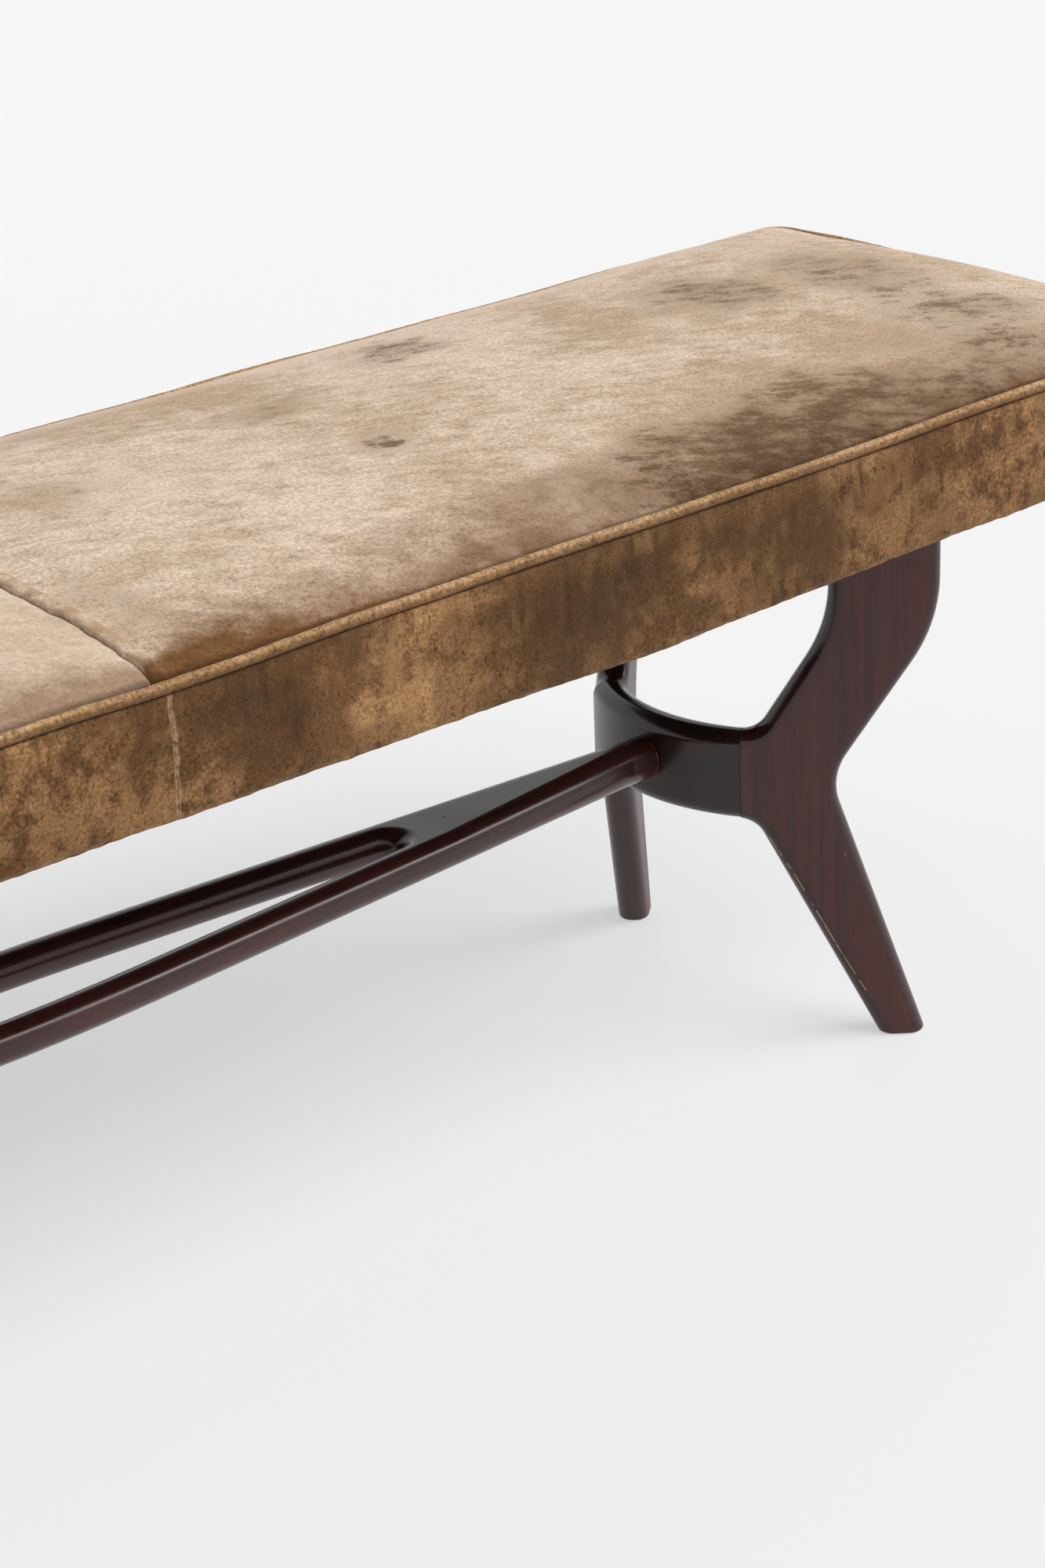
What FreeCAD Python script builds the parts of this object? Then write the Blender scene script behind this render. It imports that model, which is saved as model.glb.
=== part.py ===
import FreeCAD, Part
import math
import os

import Sketcher
from FreeCAD import Vector

# Upholstered bench: padded seat on two pairs of K-shaped legs, each pair joined by a
# curved yoke, the yokes joined by a forked stretcher.  X runs along the bench, -Y is the
# front, Z is up, the floor is Z = 0 and the origin lies under the middle of the seat.

doc = FreeCAD.newDocument("bench")

# Driving sizes, millimetres and degrees.
SIZES = [
    ("seat_length", 1680),
    ("seat_depth", 405),
    ("seat_corner_radius", 21),
    ("seat_underside", 367),
    ("band_height", 66),
    ("band_wall", 3),
    ("front_seam", 7),
    ("hem_thickness", 2),
    ("hem_width", 21),
    ("piping_diameter", 9),
    ("piping_proud", 3.5),
    ("cover_thickness", 2.5),
    ("cover_edge_rise", 2.7),
    ("shoulder_width", 17),
    ("shoulder_rise", 8.7),
    ("crown_rise", 12.8),
    ("end_fall", 210),
    ("pad_straight_side", 7),
    ("soft_clearance", 0.3),
    ("dust_cover_thickness", 1),
    ("dust_cover_inset", 11),
    ("rail_thickness", 25),
    ("rail_height", 50),
    ("bearer_width", 90),
    ("bearer_thickness", 20),
    ("cross_rail_thickness", 25),
    ("cross_rail_height", 40),
    ("corner_block_leg", 45),
    ("corner_block_height", 30),
    ("webbing_thickness", 2),
    ("webbing_width", 50),
    ("webbing_cross_pitch", 120),
    ("webbing_long_pitch", 80),
    ("webbing_edge", 6),
    ("hessian_thickness", 1),
    ("hessian_edge", 4),
    ("frame_dowel_diameter", 10),
    ("frame_dowel_depth", 18),
    ("foot_end_inset", 224),
    ("foot_side_share", 0.31358),
    ("leg_angle", 40),
    ("leg_thickness", 21.5),
    ("leg_rounding", 9.5),
    ("foot_width", 30),
    ("foot_rounding", 2.5),
    ("leg_top_outer", 21.5),
    ("leg_top_width", 69.5),
    ("leg_bend_height", 284),
    ("leg_bend_inner_height", 285),
    ("leg_bend_radius", 100),
    ("leg_bend_inner_share", 0.6384),
    ("waist_outer", 47),
    ("waist_height", 182),
    ("waist_radius", 38),
    ("throat_top_reach", 92.5),
    ("throat_bottom_reach", 95.5),
    ("throat_top_radius", 16),
    ("throat_bottom_radius", 22),
    ("joint_reach", 103),
    ("yoke_bottom", 157),
    ("yoke_height", 59),
    ("yoke_setback", 106),
    ("joint_dowel_diameter", 8),
    ("joint_dowel_depth", 18),
    ("joint_dowel_spacing", 30),
    ("yoke_dowel_spacing", 42),
    ("dowel_clearance", 0.3),
    ("stretcher_axis", 188),
    ("stretcher_thickness", 22.6),
    ("stretcher_flat", 0.2),
    ("stretcher_end_diameter", 28),
    ("stretcher_barrel", 22),
    ("web_setback", 180),
    ("web_end_spread", 17),
    ("rod_bow_end", 90),
    ("fork_angle", 4.19),
    ("web_length", 33),
    ("tenon_diameter", 20),
    ("tenon_length", 17),
    ("screw_diameter", 5),
    ("screw_head_diameter", 10),
    ("screw_length", 58),
    ("screw_spacing", 40),
]

sheet = doc.addObject("Spreadsheet::Sheet", "sizes")
for row, (name, number) in enumerate(SIZES, start=1):
    sheet.set("A%d" % row, name)
    sheet.set("B%d" % row, str(number))
    sheet.setAlias("B%d" % row, name)
doc.recompute()

# Places worked out from the driving sizes.
layout = doc.addObject("App::VarSet", "layout")


def derive(name, expression):
    layout.addProperty("App::PropertyFloat", name, "Derived")
    layout.setExpression(name, expression)
    doc.recompute()


def value(expression):
    number = layout.evalExpression(str(expression))
    return float(getattr(number, "Value", number))


derive("band_x", "sizes.seat_length / 2 - sizes.piping_proud")
derive("band_y", "sizes.seat_depth / 2 - sizes.piping_proud")
derive("inner_x", "layout.band_x - sizes.band_wall")
derive("inner_y", "layout.band_y - sizes.band_wall")
derive("band_radius", "sizes.seat_corner_radius - sizes.piping_proud")
derive("straight_x", "layout.band_x - layout.band_radius")
derive("straight_y", "layout.band_y - layout.band_radius")
derive("rail_bottom", "sizes.seat_underside + sizes.hem_thickness")
derive("rail_top", "layout.rail_bottom + sizes.rail_height")
derive("rail_inner_x", "layout.inner_x - sizes.rail_thickness")
derive("rail_inner_y", "layout.inner_y - sizes.rail_thickness")
derive("web_top", "layout.rail_top + 2 * sizes.webbing_thickness")
derive("pad_bottom", "layout.web_top + sizes.hessian_thickness")
derive("piping_z", "sizes.seat_underside + sizes.band_height"
       " + sizes.piping_diameter / 2 + sizes.soft_clearance")
derive("piping_x", "sizes.seat_length / 2 - sizes.piping_diameter / 2")
derive("piping_y", "sizes.seat_depth / 2 - sizes.piping_diameter / 2")
derive("piping_radius", "sizes.seat_corner_radius - sizes.piping_diameter / 2")
derive("cover_z", "layout.piping_z + sizes.cover_edge_rise")
derive("cover_x", "layout.piping_x - sizes.piping_diameter / 2 - sizes.soft_clearance")
derive("cover_y", "layout.piping_y - sizes.piping_diameter / 2 - sizes.soft_clearance")
derive("cover_radius", "layout.piping_radius - sizes.piping_diameter / 2")
derive("pad_x", "layout.inner_x - sizes.soft_clearance")
derive("pad_y", "layout.inner_y - sizes.soft_clearance")
derive("pad_radius", "layout.band_radius - sizes.band_wall")
derive("foot_x", "sizes.seat_length / 2 - sizes.foot_end_inset")
derive("foot_y", "sizes.seat_depth * sizes.foot_side_share")
derive("yoke_apex", "layout.foot_x - sizes.yoke_setback")
derive("web_end", "layout.yoke_apex - sizes.web_setback")
derive("crotch", "layout.web_end - sizes.web_length")
derive("round_start", "layout.yoke_apex - sizes.stretcher_barrel")
derive("joint_x", "layout.foot_x - sizes.joint_reach * cos(sizes.leg_angle)")
derive("joint_y", "layout.foot_y - sizes.joint_reach * sin(sizes.leg_angle)")
derive("apex_mid", "layout.yoke_apex + sizes.leg_thickness / 2")
derive("yoke_depth", "layout.joint_x - layout.apex_mid")
derive("yoke_radius", "(layout.yoke_depth ^ 2 + layout.joint_y ^ 2) / (2 * layout.yoke_depth)")
derive("yoke_turn", "2 * atan(layout.yoke_depth / layout.joint_y) / 1 deg")
derive("mitre", "(90 - layout.yoke_turn - sizes.leg_angle) / 2")
derive("yoke_top", "sizes.yoke_bottom + sizes.yoke_height")
derive("yoke_mid", "sizes.yoke_bottom + sizes.yoke_height / 2")
derive("limb_in", "sizes.throat_top_reach + sizes.leg_top_outer - sizes.leg_top_width")
derive("limb_drop", "sizes.leg_bend_inner_height - layout.yoke_top")
derive("limb_length", "sqrt(layout.limb_in ^ 2 + layout.limb_drop ^ 2)")
derive("limb_upright", "layout.rail_bottom - sizes.leg_bend_inner_height")
derive("limb_bend_run", "sizes.leg_bend_inner_share * layout.limb_length * layout.limb_upright"
       " / (layout.limb_length + layout.limb_upright)")
derive("leg_bend_inner_radius", "layout.limb_bend_run * layout.limb_in"
       " / (layout.limb_length - layout.limb_drop)")
derive("leg_top_mid", "sizes.leg_top_outer - sizes.leg_top_width / 2")
derive("top_x", "layout.foot_x + layout.leg_top_mid * cos(sizes.leg_angle)")
derive("top_y", "layout.foot_y + layout.leg_top_mid * sin(sizes.leg_angle)")
derive("rod_slope", "tan(sizes.fork_angle)")
derive("rod_bow_spread", "sizes.web_end_spread"
       " + layout.rod_slope * (layout.web_end - sizes.rod_bow_end)")
derive("rod_bow_radius", "sizes.rod_bow_end / sin(sizes.fork_angle)")
derive("rod_half", "sizes.stretcher_thickness / 2")
derive("crotch_half", "layout.rod_bow_spread - layout.rod_half"
       " - layout.rod_slope * (layout.crotch - sizes.rod_bow_end)")


def plane(body, role):
    return next(item for item in body.Origin.OriginFeatures if item.Role == role)


def add_outline(sketch, points, arcs=None):
    """Closed outline through bound points; arcs maps an edge to its radius and side."""
    arcs = arcs or {}
    spots = [Vector(value(px), value(py), 0) for px, py in points]
    count = len(points)
    ends = []
    for index in range(count):
        start = spots[index]
        stop = spots[(index + 1) % count]
        if index in arcs:
            radius_text, side = arcs[index]
            radius = value(radius_text)
            chord = stop - start
            half = chord.Length / 2
            normal = Vector(-chord.y, chord.x, 0).normalize() * side
            middle = start + chord * 0.5
            centre = middle + normal * math.sqrt(max(radius ** 2 - half ** 2, 0.0))
            via = centre - normal * radius
            geo = sketch.addGeometry(Part.Arc(start, via, stop), False)
        else:
            geo = sketch.addGeometry(Part.LineSegment(start, stop), False)
        near = sketch.getPoint(geo, 1).distanceToPoint(start)
        far = sketch.getPoint(geo, 2).distanceToPoint(start)
        ends.append((geo, 1, 2) if near < far else (geo, 2, 1))
    for index in range(count):
        geo, first, last = ends[index]
        following = ends[(index + 1) % count]
        sketch.addConstraint(Sketcher.Constraint("Coincident", geo, last, following[0], following[1]))
        bind = sketch.addConstraint(
            Sketcher.Constraint("DistanceX", -1, 1, geo, first, spots[index].x))
        sketch.setExpression("Constraints[%d]" % bind, points[index][0])
        bind = sketch.addConstraint(
            Sketcher.Constraint("DistanceY", -1, 1, geo, first, spots[index].y))
        sketch.setExpression("Constraints[%d]" % bind, points[index][1])
        if index in arcs:
            bind = sketch.addConstraint(
                Sketcher.Constraint("Radius", geo, value(arcs[index][0])))
            sketch.setExpression("Constraints[%d]" % bind, arcs[index][0])


def add_circle(sketch, px, py, radius):
    """Circle with bound centre and radius."""
    circle = Part.Circle(Vector(value(px), value(py), 0), Vector(0, 0, 1), value(radius))
    geo = sketch.addGeometry(circle, False)
    for kind, text in (("DistanceX", px), ("DistanceY", py)):
        bind = sketch.addConstraint(Sketcher.Constraint(kind, -1, 1, geo, 3, value(text)))
        sketch.setExpression("Constraints[%d]" % bind, text)
    bind = sketch.addConstraint(Sketcher.Constraint("Radius", geo, value(radius)))
    sketch.setExpression("Constraints[%d]" % bind, radius)


def new_body(label):
    body = doc.addObject("PartDesign::Body", label)
    body.Label = label
    return body


def new_sketch(body, role, offset=None):
    sketch = body.newObject("Sketcher::SketchObject", "outline")
    sketch.AttachmentSupport = [(plane(body, role), "")]
    sketch.MapMode = "FlatFace"
    if offset:
        sketch.setExpression("AttachmentOffset.Base.z", offset)
    return sketch


def pad(body, sketch, length, side="One side"):
    feature = body.newObject("PartDesign::Pad", "pad")
    feature.Profile = sketch
    feature.SideType = side
    feature.setExpression("Length", length)
    doc.recompute()
    return feature


def pocket(body, sketch, length=None, reverse=False):
    before = body.Shape.Volume
    feature = body.newObject("PartDesign::Pocket", "pocket")
    feature.Profile = sketch
    feature.Reversed = reverse
    if length:
        feature.setExpression("Length", length)
    else:
        feature.Type = "ThroughAll"
    doc.recompute()
    if body.Shape.Volume > before - 0.01:
        raise RuntimeError("a pocket in %s cut nothing" % body.Label)
    return feature


def fillet(body, radius, wanted):
    """Round the edges of the body's last feature that the test picks."""
    base = body.Tip
    names = []
    for number, edge in enumerate(base.Shape.Edges, start=1):
        if wanted(edge):
            names.append("Edge%d" % number)
    if not names:
        raise RuntimeError("no edge to round in %s" % body.Label)
    feature = body.newObject("PartDesign::Fillet", "fillet")
    feature.Base = (base, names)
    feature.setExpression("Radius", radius)
    doc.recompute()
    return feature


def set_place(item, px="0", py="0", pz="0", turn="0"):
    """Bind a place: a point and a turn about Z."""
    item.setExpression(
        "Placement",
        "placement(vector(%s; %s; %s); rotation(vector(0; 0; 1); %s))" % (px, py, pz, turn))


def box(name, length, width, height, px, py, pz):
    item = doc.addObject("Part::Box", name)
    item.setExpression("Length", length)
    item.setExpression("Width", width)
    item.setExpression("Height", height)
    set_place(item, px, py, pz)
    return item


def rod(name, radius, length, px, py, pz, axis, angle):
    """Cylinder from a point along Z turned by an angle about an axis."""
    item = doc.addObject("Part::Cylinder", name)
    item.setExpression("Radius", radius)
    item.setExpression("Height", length)
    item.setExpression(
        "Placement",
        "placement(vector(%s; %s; %s); rotation(vector(%s); %s))" % (px, py, pz, axis, angle))
    return item


def group(label, items):
    item = doc.addObject("Part::Compound", label)
    item.Label = label
    item.Links = items
    doc.recompute()
    return item


def drilled(label, base, tools):
    """A piece with holes: the base less the tools."""
    doc.recompute()
    whole = base.Shape.Volume
    holes = doc.addObject("Part::Compound", label + "_holes")
    holes.Links = tools
    item = doc.addObject("Part::Cut", label)
    item.Label = label
    item.Base = base
    item.Tool = holes
    item.Refine = False
    doc.recompute()
    if item.Shape.Volume > whole - 0.01:
        raise RuntimeError("the holes in %s cut nothing" % label)
    return item


ENDS = (("right", 1), ("left", -1))
SIDES = (("front", -1), ("rear", 1))


def local_turn(end, side):
    """Turn about Z that brings a leg's outward direction to its corner of the bench."""
    if end > 0:
        return "%d * sizes.leg_angle" % side
    return "180 - %d * sizes.leg_angle" % side


def across_y(edge):
    first, last = edge.Vertexes[0].Point, edge.Vertexes[-1].Point
    return abs(first.x - last.x) < 0.01 and abs(first.z - last.z) < 0.01


def edge_near(px, pz):
    """Edge square to the board that passes a given corner of its outline."""
    def test(edge):
        spot = edge.CenterOfMass
        return across_y(edge) and math.hypot(spot.x - value(px), spot.z - value(pz)) < 0.5
    return test


def make_leg(label, end, side):
    """Board sawn to a K outline: local X points outward, local Y is the thickness."""
    body = new_body(label + "_board")
    sketch = new_sketch(body, "XZ_Plane")
    half_foot = "sizes.foot_width / 2"
    inner_top = "sizes.leg_top_outer - sizes.leg_top_width"
    overrun = "-sizes.joint_reach - sizes.leg_thickness"
    points = [
        (half_foot, "0"),
        ("-sizes.waist_outer", "sizes.waist_height"),
        ("sizes.leg_top_outer", "sizes.leg_bend_height"),
        ("sizes.leg_top_outer", "layout.rail_bottom"),
        (inner_top, "layout.rail_bottom"),
        (inner_top, "sizes.leg_bend_inner_height"),
        ("-sizes.throat_top_reach", "layout.yoke_top"),
        (overrun, "layout.yoke_top"),
        (overrun, "sizes.yoke_bottom"),
        ("-sizes.throat_bottom_reach", "sizes.yoke_bottom"),
        ("-(%s)" % half_foot, "0"),
    ]
    add_outline(sketch, points)
    pad(body, sketch, "sizes.leg_thickness", "Symmetric")
    fillet(body, "sizes.leg_bend_radius", edge_near(*points[2]))
    fillet(body, "layout.leg_bend_inner_radius", edge_near(*points[5]))
    fillet(body, "sizes.waist_radius", edge_near(*points[1]))
    fillet(body, "sizes.throat_top_radius", edge_near(*points[6]))
    fillet(body, "sizes.throat_bottom_radius", edge_near(*points[9]))

    half = value("sizes.leg_thickness") / 2
    top = value("layout.rail_bottom")
    left = value(overrun)

    def long_edge(edge):
        spot = edge.CenterOfMass
        on_face = abs(abs(spot.y) - half) < 0.01
        return on_face and 0.01 < spot.z < top - 0.01 and spot.x > left + 0.01

    fillet(body, "sizes.leg_rounding", long_edge)

    def sole_edge(edge):
        return edge.BoundBox.ZMax < 0.01

    fillet(body, "sizes.foot_rounding", sole_edge)

    # Mitre that halves the turn between the leg and the yoke.
    lean = "%d * layout.mitre" % (end * side)
    reach = "sizes.leg_thickness"
    cut = new_sketch(body, "XY_Plane")
    add_outline(cut, [
        ("-sizes.joint_reach - %s * tan(%s)" % (reach, lean), reach),
        ("-sizes.joint_reach + %s * tan(%s)" % (reach, lean), "-" + reach),
        ("-sizes.joint_reach - 3 * " + reach, "-" + reach),
        ("-sizes.joint_reach - 3 * " + reach, reach),
    ])
    pocket(body, cut, reverse=True)
    set_place(body, "%d * layout.foot_x" % end, "%d * layout.foot_y" % side, "0",
              local_turn(end, side))
    return body


def make_yoke(label, end, side):
    """Half of a yoke: an arc from the middle of the bench's end to one leg's waist."""
    body = new_body(label + "_arc")
    sketch = new_sketch(body, "XY_Plane", "sizes.yoke_bottom")
    centre = "(layout.apex_mid + layout.yoke_radius)"
    outer = "(layout.yoke_radius + sizes.leg_thickness / 2)"
    inner = "(layout.yoke_radius - sizes.leg_thickness / 2)"
    turn = "(layout.yoke_turn + 8)"
    hand = end * side
    points = [
        ("%s - %s" % (centre, outer), "0"),
        ("%s - %s * cos(%s)" % (centre, outer, turn), "%d * %s * sin(%s)" % (hand, outer, turn)),
        ("%s - %s * cos(%s)" % (centre, inner, turn), "%d * %s * sin(%s)" % (hand, inner, turn)),
        ("%s - %s" % (centre, inner), "0"),
    ]
    add_outline(sketch, points, {0: (outer, -hand), 2: (inner, hand)})
    pad(body, sketch, "sizes.yoke_height")

    def curved(edge):
        return edge.Curve.TypeId == "Part::GeomCircle"

    fillet(body, "sizes.leg_rounding", curved)

    # Mitre against the leg.
    heading = "(sizes.leg_angle + layout.mitre)"
    along = "sizes.leg_thickness"
    cut = new_sketch(body, "XY_Plane", "sizes.yoke_bottom")
    corners = []
    for ahead, across in ((0, 1), (0, -1), (3, -1), (3, 1)):
        px = "layout.joint_x + %s * (%d * cos(%s) + %d * sin(%s))" % (
            along, ahead, heading, across, heading)
        py = "%d * (layout.joint_y + %s * (%d * sin(%s) - %d * cos(%s)))" % (
            hand, along, ahead, heading, across, heading)
        corners.append((px, py))
    add_outline(cut, corners)
    pocket(body, cut, reverse=True)

    # Bore for the stretcher's round tenon, half in each yoke half.
    bore = new_sketch(body, "YZ_Plane", "layout.yoke_apex + sizes.tenon_length + sizes.dowel_clearance")
    add_circle(bore, "0", "sizes.stretcher_axis",
               "sizes.tenon_diameter / 2 + sizes.dowel_clearance")
    pocket(body, bore)
    set_place(body, turn="0" if end > 0 else "180")
    return body


# Dowels across each mitre, two to a joint, and the holes they sit in.
leg_dowels = []
leg_tools = {}
yoke_tools = {}
for end_name, end in ENDS:
    for side_name, side in SIDES:
        key = (side_name, end_name)
        leg_tools[key] = []
        yoke_tools[key] = []
        heading = "%d * (sizes.leg_angle + layout.mitre)" % side
        if end < 0:
            heading = "180 - " + heading
        for level in (-1, 1):
            pz = "layout.yoke_mid + %d * sizes.joint_dowel_spacing / 2" % level
            for role, radius, spare in (
                    ("dowel", "sizes.joint_dowel_diameter / 2", "0"),
                    ("hole", "sizes.joint_dowel_diameter / 2 + sizes.dowel_clearance",
                     "sizes.dowel_clearance")):
                depth = "(sizes.joint_dowel_depth + %s)" % spare
                px = "%d * layout.joint_x - %s * cos(%s)" % (end, depth, heading)
                py = "%d * layout.joint_y - %s * sin(%s)" % (side, depth, heading)
                axis = "-sin(%s); cos(%s); 0" % (heading, heading)
                item = rod("joint_" + role, radius, "2 * " + depth, px, py, pz, axis, "90")
                if role == "dowel":
                    leg_dowels.append(item)
                else:
                    leg_tools[key].append(item)
                    yoke_tools[key].append(item)

# Dowels between the two halves of each yoke, above and below the tenon.
yoke_dowels = []
for end_name, end in ENDS:
    for level in (-1, 1):
        pz = "sizes.stretcher_axis + %d * sizes.yoke_dowel_spacing / 2" % level
        px = "%d * layout.apex_mid" % end
        for role, radius, spare in (
                ("dowel", "sizes.joint_dowel_diameter / 2", "0"),
                ("hole", "sizes.joint_dowel_diameter / 2 + sizes.dowel_clearance",
                 "sizes.dowel_clearance")):
            depth = "(sizes.joint_dowel_depth + %s)" % spare
            item = rod("yoke_" + role, radius, "2 * " + depth, px, "-" + depth, pz, "1; 0; 0", "-90")
            if role == "dowel":
                yoke_dowels.append(item)
            else:
                for side_name, side in SIDES:
                    yoke_tools[(side_name, end_name)].append(item)

# Screws down through the bearers into the leg tops.
screws = []
bearer_tools = {"right": [], "left": []}
bearer_top = "(layout.rail_bottom + sizes.bearer_thickness)"
head_depth = "((sizes.screw_head_diameter - sizes.screw_diameter) / 2)"
for end_name, end in ENDS:
    for side_name, side in SIDES:
        for step in (-1, 1):
            shift = "(layout.leg_top_mid + %d * sizes.screw_spacing / 2)" % step
            px = "%d * (layout.foot_x + %s * cos(sizes.leg_angle))" % (end, shift)
            py = "%d * (layout.foot_y + %s * sin(sizes.leg_angle))" % (side, shift)
            shank = rod("screw_shank", "sizes.screw_diameter / 2", "sizes.screw_length",
                        px, py, bearer_top + " - sizes.screw_length", "0; 0; 1", "0")
            head = doc.addObject("Part::Cone", "screw_head")
            head.setExpression("Radius1", "sizes.screw_diameter / 2")
            head.setExpression("Radius2", "sizes.screw_head_diameter / 2")
            head.setExpression("Height", head_depth)
            set_place(head, px, py, "%s - %s" % (bearer_top, head_depth))
            screw = doc.addObject("Part::Fuse", "screw")
            screw.Base = shank
            screw.Tool = head
            screws.append(screw)
            hole = rod("screw_hole", "sizes.screw_diameter / 2 + sizes.dowel_clearance",
                       "sizes.screw_length + sizes.dowel_clearance", px, py,
                       bearer_top + " - sizes.screw_length - sizes.dowel_clearance", "0; 0; 1", "0")
            sink = doc.addObject("Part::Cone", "screw_sink")
            sink.setExpression("Radius1", "sizes.screw_diameter / 2 + sizes.dowel_clearance")
            sink.setExpression("Radius2", "sizes.screw_head_diameter / 2 + sizes.dowel_clearance")
            sink.setExpression("Height", head_depth)
            set_place(sink, px, py, "%s - %s" % (bearer_top, head_depth))
            leg_tools[(side_name, end_name)].append(hole)
            bearer_tools[end_name] += [hole, sink]

nodes = []
for end_name, end in ENDS:
    for side_name, side in SIDES:
        key = (side_name, end_name)
        leg_label = "leg_%s_%s" % key
        nodes.append(drilled(leg_label, make_leg(leg_label, end, side), leg_tools[key]))
        yoke_label = "yoke_%s_%s" % key
        nodes.append(drilled(yoke_label, make_yoke(yoke_label, end, side), yoke_tools[key]))
nodes.append(group("leg_dowels", leg_dowels))
nodes.append(group("yoke_dowels", yoke_dowels))
nodes.append(group("leg_screws", screws))


def add_round(sketch, radius, level, first, second):
    """Circle in eight arcs, parted near its top, bottom and sides at the given angles."""
    points = []
    for sy, sz in ((1, -1), (1, 1), (-1, 1), (-1, -1)):
        steep = ("%d * %s * sin(%s)" % (sy, radius, first),
                 "%s + %d * %s * cos(%s)" % (level, sz, radius, first))
        low = ("%d * %s * cos(%s)" % (sy, radius, second),
               "%s + %d * %s * sin(%s)" % (level, sz, radius, second))
        points += [steep, low] if sy * sz < 0 else [low, steep]
    add_outline(sketch, points, {index: (radius, 1) for index in range(8)})


def make_stretcher(label):
    """One piece: two bowed rods that run together into a flat-topped web and a round end."""
    body = new_body(label)
    bow = "sizes.rod_bow_end"
    wide = "(layout.rod_bow_spread + layout.rod_half)"
    tight = "(layout.rod_bow_spread - layout.rod_half)"
    end_wide = "(sizes.web_end_spread + layout.rod_half)"
    sketch = new_sketch(body, "XY_Plane", "sizes.stretcher_axis")
    bulge = ("layout.rod_bow_radius + layout.rod_half", 1)
    add_outline(sketch, [
        ("-" + bow, "-" + wide),
        (bow, "-" + wide),
        ("layout.web_end", "-" + end_wide),
        ("layout.web_end", end_wide),
        (bow, wide),
        ("-" + bow, wide),
        ("-layout.web_end", end_wide),
        ("-layout.web_end", "-" + end_wide),
    ], {0: bulge, 4: bulge})
    crotch_radius = "layout.crotch_half * sqrt(1 + layout.rod_slope ^ 2)"
    add_outline(sketch, [
        ("-" + bow, "-" + tight),
        (bow, "-" + tight),
        ("layout.crotch", "-layout.crotch_half"),
        ("layout.crotch", "layout.crotch_half"),
        (bow, tight),
        ("-" + bow, tight),
        ("-layout.crotch", "layout.crotch_half"),
        ("-layout.crotch", "-layout.crotch_half"),
    ], {0: ("layout.rod_bow_radius - layout.rod_half", 1),
        2: (crotch_radius, 1),
        4: ("layout.rod_bow_radius - layout.rod_half", 1),
        6: (crotch_radius, 1)})
    pad(body, sketch, "sizes.stretcher_thickness", "Symmetric")

    level = value("sizes.stretcher_axis")
    half = value("layout.rod_half")
    far = value("layout.web_end")

    def rim(edge):
        spot = edge.CenterOfMass
        return abs(abs(spot.z - level) - half) < 0.01 and abs(spot.x) < far - 0.01

    fillet(body, "layout.rod_half - sizes.stretcher_flat", rim)

    # The web's end face runs into a round section.
    rounded = body.Tip
    ends = []
    for number, face in enumerate(rounded.Shape.Faces, start=1):
        if face.BoundBox.XMin > far - 0.01:
            ends.append("Face%d" % number)
    finish = new_sketch(body, "YZ_Plane", "layout.round_start")
    axis = "sizes.stretcher_axis"
    round_half = "(sizes.stretcher_end_diameter / 2)"
    add_round(finish, round_half, axis, "4", "1")
    blend = body.newObject("PartDesign::AdditiveLoft", "blend")
    blend.Profile = (rounded, ends)
    blend.Sections = [finish]
    doc.recompute()
    barrel_outline = new_sketch(body, "YZ_Plane", "layout.round_start")
    add_circle(barrel_outline, "0", axis, round_half)
    barrel = pad(body, barrel_outline, "layout.yoke_apex - layout.round_start")
    tenon_outline = new_sketch(body, "YZ_Plane", "layout.yoke_apex")
    add_circle(tenon_outline, "0", axis, "sizes.tenon_diameter / 2")
    tenon = pad(body, tenon_outline, "sizes.tenon_length")
    mirror = body.newObject("PartDesign::Mirrored", "mirror")
    mirror.Originals = [blend, barrel, tenon]
    mirror.MirrorPlane = (plane(body, "YZ_Plane"), [""])
    body.Tip = mirror
    doc.recompute()
    return body


nodes.append(make_stretcher("stretcher"))

# Seat frame: two long rails, two end rails between them, bearers over the legs.
frame_dowels = []
rail_tools = []
cross_tools = []
cross_places = [
    ("layout.rail_inner_x + sizes.rail_thickness / 2", "layout.rail_bottom + sizes.rail_height / 3"),
    ("layout.rail_inner_x + sizes.rail_thickness / 2",
     "layout.rail_bottom + 2 * sizes.rail_height / 3"),
    ("layout.top_x - sizes.bearer_width / 4", "layout.rail_bottom + sizes.bearer_thickness / 2"),
    ("layout.top_x + sizes.bearer_width / 4", "layout.rail_bottom + sizes.bearer_thickness / 2"),
]
places = [("%d * (%s)" % (end, px), pz) for name, end in ENDS for px, pz in cross_places]
places.append(("0", "layout.rail_bottom + sizes.cross_rail_height / 2"))
for px, pz in places:
    for side_name, side in SIDES:
        for role, radius, spare in (
                ("dowel", "sizes.frame_dowel_diameter / 2", "0"),
                ("hole", "sizes.frame_dowel_diameter / 2 + sizes.dowel_clearance",
                 "sizes.dowel_clearance")):
            depth = "(sizes.frame_dowel_depth + %s)" % spare
            py = "%d * (layout.rail_inner_y - %s)" % (side, depth)
            item = rod("frame_" + role, radius, "2 * " + depth, px, py, pz,
                       "1; 0; 0", "%d" % (-90 * side))
            if role == "dowel":
                frame_dowels.append(item)
            else:
                rail_tools.append((side_name, item))
                cross_tools.append((px, item))

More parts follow.
